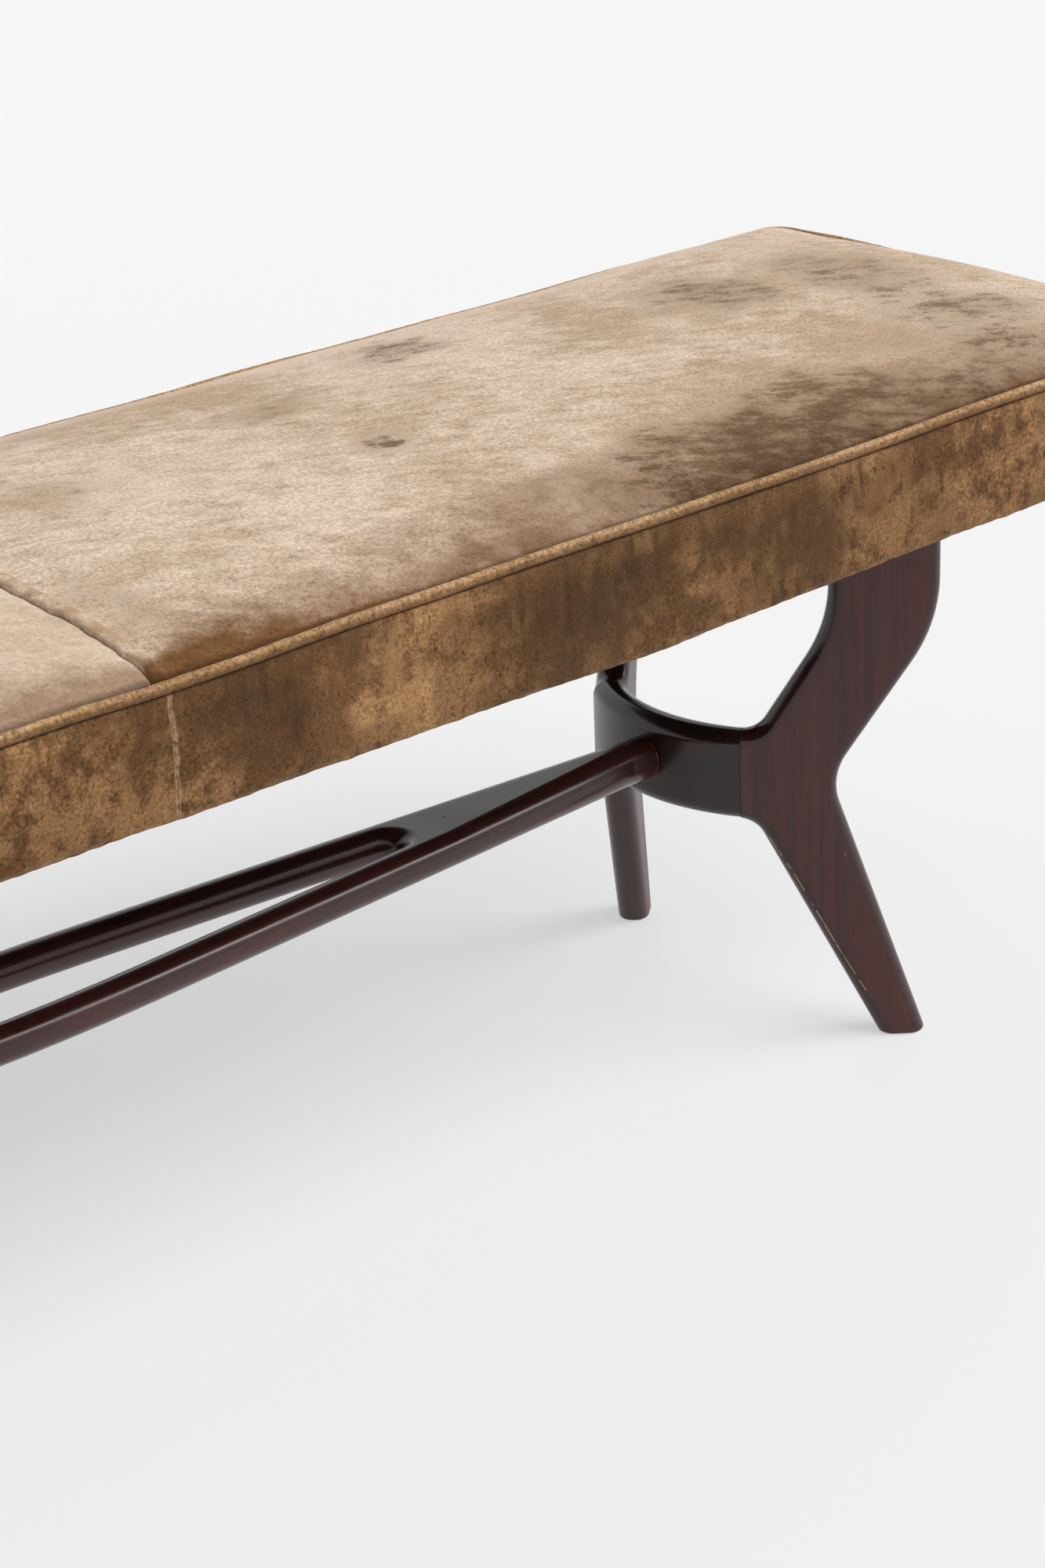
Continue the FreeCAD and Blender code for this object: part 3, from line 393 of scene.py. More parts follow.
class BENCH_OT_velvet_top(bpy.types.Operator):
    """Stuffed velvet top with its cross seam"""

    bl_idname = "bench.velvet_top"
    bl_label = "Velvet Top"
    bl_options = {"REGISTER", "UNDO"}

    columns, rows = 220, 54
    fine_columns, fine_rows = 1.16, 1.6
    slack = 0.9
    corner = 12 * MM
    frames = 20
    edge_width, edge_lift, seam_half = 0.5 * MM, 0.2 * MM, 3 * MM
    seam_hold = 0.7
    stuffing = {
        "quality": 4, "mass": 0.3, "tension_stiffness": 12, "compression_stiffness": 12,
        "shear_stiffness": 6, "bending_stiffness": 2.5, "use_pressure": True,
        "uniform_pressure_force": 4.0, "vertex_group_mass": "sewn",
    }
    turned_down = (3 * MM, 2 * MM)
    tucked_in = (0.996, 0.985, 1)
    seam_cuts = (-3, -1.2, -0.5, 0.3, 1.2)
    lap_cuts = (-1.5, 0, 1.5)
    ridge, groove = 1.9 * MM, 0.9 * MM
    seam_reach = 0.03
    calm_edge = 40 * MM
    waves = ((1.0, 5.5, 1), (0.5, 14, 2))

    def lay(self, piece, settings):
        u, v = grid_places(piece)
        along = spread(self.columns, self.fine_columns, COVER_X)
        across = spread(self.rows, self.fine_rows, COVER_Y)
        x = along[np.rint(u * self.columns).astype(int)]
        y = across[np.rint(v * self.rows).astype(int)]
        z = COVER_EDGE_Z + self.slack * top_height(x, y, settings)
        x, y = round_corner(x, y, COVER_X, COVER_Y, self.corner)
        set_coords(piece, np.stack([x, y, z], 1))

    def stuff(self, piece, settings):
        """Blow the cloth up over its stuffing, held at its sewn edges and cross seam."""
        start = coords_of(piece)
        x, y, z = start.T
        edge = (np.abs(x) > COVER_X - self.edge_width) | (np.abs(y) > COVER_Y - self.edge_width)
        fast = edge | (z < COVER_EDGE_Z + self.edge_lift)
        seam = (np.abs(x) < self.seam_half) & ~edge
        pins = piece.vertex_groups.new(name="sewn")
        pins.add(np.flatnonzero(fast).tolist(), 1.0, "REPLACE")
        pins.add(np.flatnonzero(seam).tolist(), self.seam_hold, "REPLACE")
        cloth = piece.modifiers.new("stuffing", "CLOTH")
        for key, value in self.stuffing.items():
            setattr(cloth.settings, key, value)
        cloth.settings.effector_weights.gravity = 0.0
        cloth.collision_settings.use_collision = False
        cloth.point_cache.frame_start = 1
        cloth.point_cache.frame_end = self.frames
        scene = bpy.context.scene
        for number in range(1, self.frames + 1):
            scene.frame_set(number)
        apply_all(piece)
        moved = coords_of(piece) - start
        far = np.linalg.norm(moved, axis=1)
        moved *= np.minimum(1.0, settings.swell / np.maximum(far, 1e-9))[:, None]
        moved[fast] = 0
        set_coords(piece, start + moved)
        scene.frame_set(1)

    def close(self, piece):
        """Turn the edge down and close the pad underneath."""
        with edit_mode(piece):
            select_open_edges()
            for drop in self.turned_down:
                bpy.ops.mesh.extrude_region_move(TRANSFORM_OT_translate={"value": (0, 0, -drop)})
            bpy.ops.transform.resize(value=self.tucked_in)
            bpy.ops.mesh.edge_face_add()
            face_outwards()

    def sew(self, piece, settings):
        """Raise the lapped cross seam and its stitched edge."""
        lap = settings.seam_lap
        cuts = [at * MM for at in self.seam_cuts] + [lap + at * MM for at in self.lap_cuts]
        with edit_mode(piece):
            for at in cuts:
                bpy.ops.mesh.select_all(action="SELECT")
                bpy.ops.mesh.bisect(plane_co=(at, 0, 0), plane_no=(1, 0, 0))
        points = coords_of(piece)
        x, y, z = points.T.copy()
        on_top = smoothstep(COVER_EDGE_Z - 1 * MM, COVER_EDGE_Z + 1 * MM, z)
        wander = sum(MM * much * np.sin(y * turns) for much, turns in SEAM_WANDER)
        rise = smoothstep(-0.6 * MM, 0.9 * MM, x)
        fall = 1 - smoothstep(lap - 2.5 * MM, lap + 2 * MM, x)
        sunk = self.groove * bell(x, -0.6 * MM, 0.7 * MM)
        points[:, 2] += on_top * (self.ridge * rise * fall - sunk)
        points[:, 0] += on_top * wander * bell(x, 0, self.seam_reach)
        set_coords(piece, points)

    def execute(self, context):
        settings = context.scene.bench_velvet
        piece = cloth_grid("velvet_top", self.columns, self.rows)
        self.lay(piece, settings)
        self.stuff(piece, settings)
        points = coords_of(piece)
        x, y = points[:, 0], points[:, 1]
        inside = smoothstep(0, self.calm_edge,
                            np.minimum(COVER_X - np.abs(x), COVER_Y - np.abs(y)))
        points[:, 2] += inside * MM * ripple(points, *self.waves)
        points[:, 2] += (1 - 0.4 * inside) * edge_wave(x, y)
        set_coords(piece, points)
        fine = piece.modifiers.new("fine", "SUBSURF")
        fine.levels = fine.render_levels = 1
        apply_all(piece)
        self.close(piece)
        self.sew(piece, settings)
        smooth(piece, 50)
        give(piece, velvet_material("velvet_top_nap", settings, "top"))
        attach(piece, BODY)
        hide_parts("cover_top_right", "cover_top_left", "seat_pad")
        return {"FINISHED"}


# Bands and piping

# Edges of a band's closed section: millimetres out from its face, millimetres up from its lower
# or upper edge, and share of the face's height.
BAND_UNDER = ((-21.0, 0.2, 0.0), (-14.0, -0.4, 0.0), (-7.0, -0.5, 0.0), (-3.0, -0.3, 0.0),
              (-1.2, 0.4, 0.0), (-0.4, 1.7, 0.02))
BAND_OVER = ((0.5, -1.5, 0.97), (0.3, -0.5, 0.99), (-0.6, 0.1, 1.0), (-2.8, -0.2, 1.0))
BAND_HEM = ((-4.0, 1.9, 0.0), (-12.0, 1.8, 0.0), (-21.0, 1.8, 0.0))
BAND_THICKNESS = 2.8 * MM
# Shares of the height where the face and the back have vertices, and the shape of the belly.
BAND_FACE = np.linspace(0.06, 0.95, 18)
BAND_BACK = (0.8, 0.5, 0.2, 0.06)
BAND_BELLY, BAND_INSET = 0.7, 0.2 * MM


def band_profile(settings):
    """Closed section of a band: distance out from its face, height, and share of its height."""
    height = BAND_TOP - UNDERSIDE

    def edge(places, level):
        return [(out * MM, level + up * MM, t) for out, up, t in places]

    face = [(settings.band_fullness * math.sin(math.pi * t) ** BAND_BELLY - BAND_INSET,
             UNDERSIDE + t * height, t) for t in BAND_FACE]
    back = [(-BAND_THICKNESS, UNDERSIDE + t * height, t) for t in BAND_BACK]
    return np.array(edge(BAND_UNDER, UNDERSIDE) + face + edge(BAND_OVER, BAND_TOP) + back
                    + edge(BAND_HEM, UNDERSIDE))


def sweep(name, path, first, last, columns, profile):
    """A grid along a stretch of the path: each vertex's distance, place, way out and section."""
    rows = len(profile)
    piece = cloth_grid(name, columns, rows)
    u, v = grid_places(piece)
    s = first + u * (last - first)
    return (piece, s, *path.at(s), profile[np.rint(v * rows).astype(int) % rows].T)


class BENCH_OT_velvet_bands(bpy.types.Operator):
    """Six velvet bands round the seat, hems turned under"""

    bl_idname = "bench.velvet_bands"
    bl_label = "Velvet Bands"
    bl_options = {"REGISTER", "UNDO"}

    step = 3.0 * MM
    gap = 0.15 * MM
    belly_waves = ((0.8, 11, 3), (0.4, 34, 4))
    puckers, tall = (0.9, 58, 9), (1, 1, 0.35)
    ragged_hem, level = ((0.7, 21, 5), (0.6, 150, 6)), (1, 1, 0)
    bead, bead_place = 0.9, (1.5 * MM, 1.2 * MM)
    stitch, stitch_place = 0.7, (0, 0.6 * MM)
    outer = (-2.6 * MM, -1.0 * MM)
    puckered, hemmed, edged = (0.55, 0.85), (0.0, 0.6), (0.45, 1.0)

    def make(self, name, path, first, last, profile):
        """A band between two distances along the path."""
        columns = max(8, int(round((last - first) / self.step)))
        piece, s, point, out, (reach, z, up) = sweep(name, path, first, last, columns, profile)
        x, y = point.T
        outside = smoothstep(*self.outer, reach)
        spots = np.stack([x, y, z], 1)
        belly = np.sin(math.pi * np.clip(up, 0, 1)) ** 0.5
        pucker = ripple(spots * self.tall, self.puckers) * smoothstep(*self.puckered, up)
        far = np.minimum(s - first, last - s)
        seam = self.bead * bell(far, *self.bead_place) - self.stitch * bell(far, *self.stitch_place)
        swell = ripple(spots, *self.belly_waves) * belly + pucker + seam
        reach = reach + outside * MM * swell
        ragged = MM * ripple(spots * self.level, *self.ragged_hem)
        hem = ragged - frontness(y) * along_front(FRONT_HEM, x)
        z = z + hem * (1 - smoothstep(*self.hemmed, up))
        z = z + edge_wave(x, y) * smoothstep(*self.edged, up)
        set_coords(piece, np.column_stack([point + out * reach[:, None], z]))
        rise = piece.data.attributes.new("rise", "FLOAT", "POINT")
        rise.data.foreach_set("value", np.asarray(up, np.float32))
        close_tube(piece)
        smooth(piece, 60)
        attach(piece, BODY)
        return piece

    def execute(self, context):
        settings = context.scene.bench_velvet
        material = velvet_material("velvet_band_nap", settings, "side")
        path = SeatPath(BAND_X, BAND_Y, BAND_RADIUS)
        profile = band_profile(settings)
        stretches = {
            "front_right": (path.front(FRONT_SEAM_X), path.length, "front_rail"),
            "front_left": (path.ends[6], path.front(FRONT_SEAM_X), "front_rail"),
            "rear_right": (path.ends[2], path.rear(0.0), "rear_rail"),
            "rear_left": (path.rear(0.0), path.ends[3], "rear_rail"),
            "end_right": (0.0, path.ends[2], "right_end_rail"),
            "end_left": (path.ends[3], path.ends[6], "left_end_rail"),
        }
        for place, (first, last, rail) in stretches.items():
            piece = self.make("velvet_band_" + place, path, first + self.gap, last - self.gap,
                              profile)
            give(piece, material)
            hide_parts("band_" + place)
        return {"FINISHED"}


class BENCH_OT_velvet_piping(bpy.types.Operator):
    """Corded piping sewn in between the top and the bands"""

    bl_idname = "bench.velvet_piping"
    bl_label = "Velvet Piping"
    bl_options = {"REGISTER", "UNDO"}

    columns = 1600
    corner = 16.5 * MM
    arc = (-52, 232, 13)
    cord_lift = 0.2 * MM
    tail = ((-1.9, -3.2, 0.3), (-1.8, -4.5, 0.0), (-0.6, -4.5, 0.0), (0.5, -3.2, 0.3))
    lumps = ((0.05, 60, 7), (0.05, 210, 10))
    wander = (0.4, 25, 8)
    rear, rear_drop = (0.12, 0.19), 1.6 * MM

    def section(self):
        """Round cord on a narrow sewn tail: distance out, height, and how much of it is cord."""
        turns = np.radians(np.linspace(*self.arc))
        cord = [(CORD * math.cos(t), self.cord_lift + CORD * math.sin(t), 1.0) for t in turns]
        return np.array(cord + [(out * MM, up * MM, share) for out, up, share in self.tail])

    def execute(self, context):
        settings = context.scene.bench_velvet
        path = SeatPath(PIPING_X, PIPING_Y, self.corner)
        piece, s, point, out, (reach, rise, cord) = sweep(
            "velvet_piping", path, 0.0, path.length, self.columns, self.section())
        x, y = point.T
        spots = np.column_stack([point, np.zeros(len(s))])
        thick = 1 + cord * ripple(spots, *self.lumps)
        z = PIPING_Z + edge_wave(x, y) + thick * rise
        z -= self.rear_drop * smoothstep(*self.rear, y)
        reach = thick * reach + cord * MM * ripple(spots, self.wander)
        set_coords(piece, np.column_stack([point + out * reach[:, None], z]))
        close_tube(piece)
        smooth(piece, 70)
        give(piece, velvet_material("velvet_piping_nap", settings, "piping"))
        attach(piece, BODY)
        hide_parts("piping")
        return {"FINISHED"}


class BENCH_OT_dust_sheet(bpy.types.Operator):
    """Black cloth stretched under the seat, cut out round the legs"""

    bl_idname = "bench.dust_sheet"
    bl_label = "Dust Sheet"
    bl_options = {"REGISTER", "UNDO"}

    columns, rows = 164, 36
    corner = 11 * MM
    thickness, lift = 0.7 * MM, 0.9 * MM
    sag, sag_waves = 2.0, (0.8, 6, 11)
    tones, pitch = ((0.055, 0.05, 0.046), (0.02, 0.018, 0.016)), 1.1 * MM
    cut_margin = 2 * MM
    cutter_height = 0.03

    def cut_out(self, piece, context):
        """Take the legs' outlines out of the cloth; returns the area taken out."""
        taken = 0.0
        for name in ("leg_front_right", "leg_front_left", "leg_rear_right", "leg_rear_left"):
            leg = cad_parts[name]
            high = np.array([v.co for v in leg.data.vertices if v.co.z > UNDERSIDE - 2 * MM])
            sx, sy = np.sign(high.mean(0)[:2])
            along = np.array([sx * math.cos(LEG_TURN), sy * math.sin(LEG_TURN)])
            across = np.array([-along[1], along[0]])
            spans = [high[:, :2] @ way for way in (along, across)]
            middle = sum(way * (span.min() + span.max()) / 2
                         for way, span in zip((along, across), spans))
            wide, deep = [span.max() - span.min() + self.cut_margin for span in spans]
            bpy.ops.object.select_all(action="DESELECT")
            bpy.ops.mesh.primitive_cube_add(size=1.0, location=(*middle, SHEET_Z),
                                            rotation=(0, 0, math.atan2(along[1], along[0])))
            cutter = context.object
            cutter.scale = (wide, deep, self.cutter_height)
            activate(piece)
            hole = piece.modifiers.new("hole", "BOOLEAN")
            hole.operation = "DIFFERENCE"
            hole.solver = "EXACT"
            hole.object = cutter
            bpy.ops.object.modifier_apply(modifier=hole.name)
            activate(cutter)
            bpy.ops.object.delete()
            taken += wide * deep
        return taken

    def execute(self, context):
        piece = cloth_grid("dust_sheet", self.columns, self.rows)
        u, v = grid_places(piece)
        x, y = (2 * u - 1) * SHEET_X, (2 * v - 1) * SHEET_Y
        x, y = round_corner(x, y, SHEET_X, SHEET_Y, self.corner)
        free = np.clip(1 - (y / SHEET_Y) ** 2, 0, 1) * np.clip(1 - (x / SHEET_X) ** 8, 0, 1)
        spots = np.stack([x, y, 0 * x], 1)
        z = SHEET_Z + self.lift - free * MM * (self.sag + ripple(spots, self.sag_waves))
        set_coords(piece, np.stack([x, y, z], 1))
        wall = piece.modifiers.new("wall", "SOLIDIFY")
        wall.thickness = self.thickness
        wall.offset = -1.0
        apply_all(piece)
        taken = self.cut_out(piece, context)
        smooth(piece, 40)
        give(piece, woven("dust_cloth_weave", *self.tones, self.pitch))
        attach(piece, BODY)
        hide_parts("dust_cover")
        return {"FINISHED"}


# Shader helpers


class Graph:
    """Shader nodes under short names; any input may be a value or another node's output."""

    def __init__(self, tree):
        self.tree = tree

    def feed(self, socket, value):
        if isinstance(value, bpy.types.NodeSocket):
            self.tree.links.new(value, socket)
        elif socket.type == "RGBA":
            socket.default_value = (*value[:3], 1.0)
        else:
            socket.default_value = value

    def node(self, kind, inputs=None, **values):
        made = self.tree.nodes.new("ShaderNode" + kind)
        for key, value in values.items():
            setattr(made, key, value)
        for key, value in (inputs or {}).items():
            self.feed(made.inputs[key], value)
        return made

    def group(self, tree, inputs):
        return self.node("Group", inputs, node_tree=tree).outputs

    def math(self, kind, first, second=0.0, clamp=False):
        return self.node("Math", {0: first, 1: second}, operation=kind, use_clamp=clamp).outputs[0]

    def fold(self, kind, *values):
        return functools.reduce(functools.partial(self.math, kind), values)

    plus = functools.partialmethod(fold, "ADD")
    less = functools.partialmethod(fold, "SUBTRACT")
    times = functools.partialmethod(fold, "MULTIPLY")
    most = functools.partialmethod(fold, "MAXIMUM")

    def size(self, value):
        return self.math("ABSOLUTE", value)

    def centred(self, value, gain):
        """A noise value turned to run about zero, times a gain."""
        return self.times(self.less(value, 0.5), gain)

    def vector(self, kind, first, second=(0.0, 0.0, 0.0), scale=1.0):
        """Vector maths; the scale is the node's input 3."""
        made = self.node("VectorMath", {0: first, 1: second, 3: scale}, operation=kind)
        return made.outputs["Value" if kind in ("LENGTH", "DISTANCE", "DOT_PRODUCT") else "Vector"]

    def axes(self, vector):
        return self.node("SeparateXYZ", {0: vector}).outputs

    def place(self):
        return self.node("TexCoord").outputs["Object"]

    def normal(self):
        return self.node("NewGeometry").outputs["Normal"]

    def seen(self):
        """One for rays that show a surface, nothing for those that only light others."""
        rays, kinds = self.node("LightPath").outputs, ("Camera", "Glossy", "Transmission")
        return self.most(*(rays["Is %s Ray" % kind] for kind in kinds))

    def mix(self, share, first, second, blend="MIX"):
        """Blend two colours; on a colour Mix node these are inputs 6 and 7, and output 2."""
        return self.node("Mix", {0: share, 6: first, 7: second}, data_type="RGBA",
                         blend_type=blend).outputs[2]

    def ramp(self, value, low, high, to=(0.0, 1.0), kind="SMOOTHSTEP"):
        """A step from one value to another as the input goes from low to high."""
        inputs = {"Value": value, "From Min": low, "From Max": high,
                  "To Min": to[0], "To Max": to[1]}
        return self.node("MapRange", inputs, interpolation_type=kind).outputs["Result"]

    def line(self, distance, half, soft):
        """One on a line, falling off to nothing at half plus soft from it."""
        return self.ramp(self.size(distance), half + soft, half)

    def noise(self, vector, scale, detail=2.0, rough=0.5, output="Fac"):
        inputs = {"Vector": vector, "Scale": scale, "Detail": detail, "Roughness": rough}
        return self.node("TexNoise", inputs).outputs[output]

    def stretch(self, vector, scale=(1.0, 1.0, 1.0), turn=0.0):
        inputs = {"Vector": vector, "Scale": scale, "Rotation": (0.0, 0.0, turn)}
        return self.node("Mapping", inputs).outputs[0]


def new_material(name):
    material = bpy.data.materials.new(name)
    material.use_nodes = True
    tree = material.node_tree
    tree.nodes.clear()
    out = tree.nodes.new("ShaderNodeOutputMaterial")
    shader = tree.nodes.new("ShaderNodeBsdfPrincipled")
    tree.links.new(shader.outputs[0], out.inputs[0])
    return material, Graph(tree), shader.inputs


def dress(g, shader, values, relief=None):
    """Set the shader's inputs; relief is a fine height, its strength and its depth."""
    for label, value in values.items():
        g.feed(shader[label], value)
    if relief:
        bump = g.node("Bump", dict(zip(("Height", "Strength", "Distance"), relief)))
        g.feed(shader["Normal"], bump.outputs[0])


def new_group(name, inputs, outputs, build):
    """A node group with named defaults for its inputs and kinds for its outputs."""
    group = bpy.data.node_groups.new(name, "ShaderNodeTree")

    def socket(label, side, kind):
        return group.interface.new_socket(label, in_out=side, socket_type="NodeSocket" + kind)

    for label, default in inputs.items():
        kind = "Float" if isinstance(default, float) else {3: "Vector", 4: "Color"}[len(default)]
        socket(label, "INPUT", kind).default_value = default
    for label, kind in outputs.items():
        socket(label, "OUTPUT", kind)
    g = Graph(group)
    source, result = group.nodes.new("NodeGroupInput"), group.nodes.new("NodeGroupOutput")
    for label, value in build(g, source.outputs).items():
        g.feed(result.inputs[label], value)
    return group


def shared(name, inputs, **outputs):
    """Make a node group of a function, the first time that it is asked for."""
    def wrap(build):
        return lambda: bpy.data.node_groups.get(name) or new_group(name, inputs, outputs, build)
    return wrap


NOWHERE = (0.0, 0.0, 0.0)
GREY, BROWN = (0.5, 0.5, 0.5, 1.0), (0.05, 0.02, 0.02, 1.0)


# Velvet

PILE_SCALE, FIBRE_SCALE = 430.0, 1150.0
# How strongly the noises move the tone of the nap, and how strongly they break up the wear.
TONE_PATCH, TONE_TUFT = 1.3, 0.5
WEAR_BLOTCH, WEAR_TUFT, WEAR_PILE = 1.6, 2.9, 2.0
WEAR_MOST, FLECK_MOST = 0.95, 0.42
PILE_GAIN, PILE_LEAST = 4.0, 0.2


@shared("Worn Nap", {
    "Vector": NOWHERE, "Stroke Vector": NOWHERE, "Pale": GREY, "Middle": GREY, "Dark": GREY,
    "Crushed": 0.0, "Patch Scale": 5.0, "Blotch Scale": 45.0, "Blotch": 0.3, "Pile Depth": 0.4,
}, Color="Color", Height="Float")
def nap_group(g, take):
    """Crushed and brushed nap: colour and height of a worn velvet."""
    place, crushed, dark = take["Vector"], take["Crushed"], take["Dark"]
    patch = g.noise(place, take["Patch Scale"], 4.0, 0.6)
    blotch = g.noise(place, take["Blotch Scale"], 3.0, 0.6)
    tuft = g.noise(take["Stroke Vector"], 1.0, 5.0, 0.65)
    pile = g.noise(place, PILE_SCALE, 2.0, 0.65)
    fibre = g.noise(place, FIBRE_SCALE, 1.0, 0.5)
    tone = g.plus(g.centred(patch, TONE_PATCH), g.centred(blotch, take["Blotch"]),
                  g.centred(tuft, TONE_TUFT))
    colour = g.mix(g.ramp(tone, -0.2, 0.2), take["Middle"], take["Pale"])
    hollow = g.plus(crushed, g.centred(blotch, WEAR_BLOTCH), g.centred(tuft, WEAR_TUFT),
                    g.centred(pile, WEAR_PILE))
    worn = g.times(g.ramp(hollow, 0.0, 1.15), g.ramp(crushed, 0.0, 0.5), WEAR_MOST)
    colour = g.mix(worn, colour, dark)
    colour = g.mix(g.times(g.ramp(tuft, 0.58, 0.78), FLECK_MOST), colour, dark)
    fine = g.plus(g.centred(pile, 1.0), g.centred(fibre, 0.6), g.centred(tuft, 0.35))
    shade = g.plus(g.times(fine, take["Pile Depth"], PILE_GAIN), 1.0)
    colour = g.mix(1.0, colour, g.most(shade, PILE_LEAST), "MULTIPLY")
    return {"Color": colour, "Height": fine}


@shared("Bruise", {
    "Vector": NOWHERE, "Place": NOWHERE, "Reach": (1.0, 1.0, 1.0), "Strength": 1.0,
}, Mask="Float")
def bruise_group(g, take):
    """A soft-edged patch round one place."""
    off = g.vector("DIVIDE", g.vector("SUBTRACT", take["Vector"], take["Place"]), take["Reach"])
    inside = g.ramp(g.vector("LENGTH", off), 1.0, 0.1)
    return {"Mask": g.times(inside, take["Strength"])}


# Crushed places on the seat top, two strips of painted shade along its front roll, and the small
# stain: centre, reach along and across, strength.
BRUISES = (
    (0.445, -0.175, 0.2, 0.08, 0.84), (0.38, -0.15, 0.12, 0.05, 0.3),
    (0.52, -0.15, 0.11, 0.06, 0.7), (0.61, -0.18, 0.12, 0.045, 0.6),
    (0.69, -0.15, 0.08, 0.07, 0.52), (0.7, -0.09, 0.078, 0.078, 0.6),
    (0.71, 0.0, 0.078, 0.156, 0.5), (0.61, 0.04, 0.078, 0.078, 0.6),
    (0.65, -0.11, 0.13, 0.065, 0.3), (0.26, 0.055, 0.058, 0.032, 0.45),
    (0.4, 0.095, 0.065, 0.045, 0.65), (0.1, 0.02, 0.05, 0.045, 0.35),
    (0.15, 0.135, 0.065, 0.032, 0.3), (0.03, -0.13, 0.04, 0.078, 0.25),
    # The last patch on this line and the first on the next are painted shade along the front roll.
    (0.315, -0.15, 0.1, 0.05, 0.28), (0.2, -0.192, 0.28, 0.03, 0.25),
    (-0.3, -0.187, 0.26, 0.021, 0.3), (-0.45, 0.05, 0.21, 0.078, 0.4),
    (-0.62, -0.1, 0.17, 0.091, 0.5),
)
STAIN = (
    (0.27, -0.039, 0.01, 0.01, 0.7), (0.279, -0.047, 0.012, 0.012, 1.0),
    (0.275, -0.043, 0.035, 0.035, 0.4),
)
PATCH_Z, PATCH_DEPTH = 0.455, 0.3
# Light stretch of the front band: where it fades in, where it fades out, and how much it gains; the
# painted highlight along the band's top gains the same.
LIT_IN, LIT_OUT = (0.075, 0.12), (0.178, 0.168)
LIT_GAIN = (1.6, 1.68, 1.75)


def patches(g, vector, table):
    """Mask of each soft patch in a table."""
    for x, y, reach_x, reach_y, strength in table:
        yield g.group(bruise_group(), {
            "Vector": vector, "Place": (x, y, PATCH_Z), "Reach": (reach_x, reach_y, PATCH_DEPTH),
            "Strength": strength})["Mask"]


def crease_shade(settings):
    """Painted near-black shade for the creases where the cloth is sewn."""
    return [0.35 * c for c in settings.side_dark]


def seam_distance(g, place):
    """Distance from the wandering cross seam, positive on its lapped side."""
    axes = g.axes(place)
    wander = [g.times(g.math("SINE", g.times(axes["Y"], turns)), much * MM)
              for much, turns in SEAM_WANDER]
    return g.less(axes["X"], g.plus(*wander))


def top_marks(g, place, blurred, settings):
    """Crushed places of the top; then its pale left panel, seam lap, painted sheen on slopes facing
    the rear, painted shade on slopes facing the front, and painted shade in the grooves of its sewn
    edges.
    """
    shaken = g.vector("SCALE", g.vector("ADD", place, blurred), scale=0.5)
    crushed = g.most(*patches(g, blurred, BRUISES), *patches(g, shaken, STAIN))
    axes = g.axes(place)
    narrow, wide, last = 1.8 * MM, 4.5 * MM, 0.5 * MM
    # Painted shade in the grooves beside the piping and at the seat's ends, and along the cross
    # seam; the sewn mask mixes it in.
    side = g.ramp(g.size(axes["Y"]), COVER_Y - narrow, COVER_Y - last)
    fold = g.ramp(g.times(axes["Y"], -1.0), COVER_Y - wide, COVER_Y - last)
    end = g.ramp(g.size(axes["X"]), COVER_X - narrow, COVER_X - last)
    far = seam_distance(g, place)
    line = g.line(g.plus(far, 0.6 * MM), 0.15 * MM, 0.75 * MM)
    sewn = g.times(g.most(side, g.times(fold, 0.8), end, g.times(line, 0.6)), 0.7)
    lap = g.times(g.ramp(far, 0.0, 0.8 * MM),
                  g.ramp(far, settings.seam_lap + 2 * MM, settings.seam_lap - 1 * MM))
    patchy = g.ramp(g.noise(place, 90.0), 0.3, 0.65)
    left = g.ramp(far, 0.0, -1.2 * MM)
    # Painted shade: slopes that face the front are darkened with the roll shade, less on the left
    # panel.
    facing = g.axes(g.normal())["Y"]
    uneven = g.centred(g.noise(blurred, 34.0, 4.0, 0.65), 0.42)
    uneven = g.times(uneven, g.ramp(facing, -0.08, -0.3))
    roll = g.ramp(g.plus(facing, uneven), -0.125, -0.46, kind="LINEAR")
    roll = g.times(roll, g.less(1.0, g.times(left, 0.3)))
    # Painted sheen: slopes that face the rear are lifted towards a pale colour.
    rear = g.times(g.ramp(facing, 0.05, 0.4), 0.6)

    def over(colour):
        colour = g.mix(g.times(left, 0.35), colour, settings.top_pale)
        colour = g.mix(g.times(lap, patchy, 0.8), colour, settings.worn_edge)
        colour = g.mix(rear, colour, [min(1.0, 1.3 * c) for c in settings.top_pale])
        colour = g.mix(roll, colour, settings.roll_shade, "MULTIPLY")
        return g.mix(sewn, colour, crease_shade(settings))

    return crushed, over


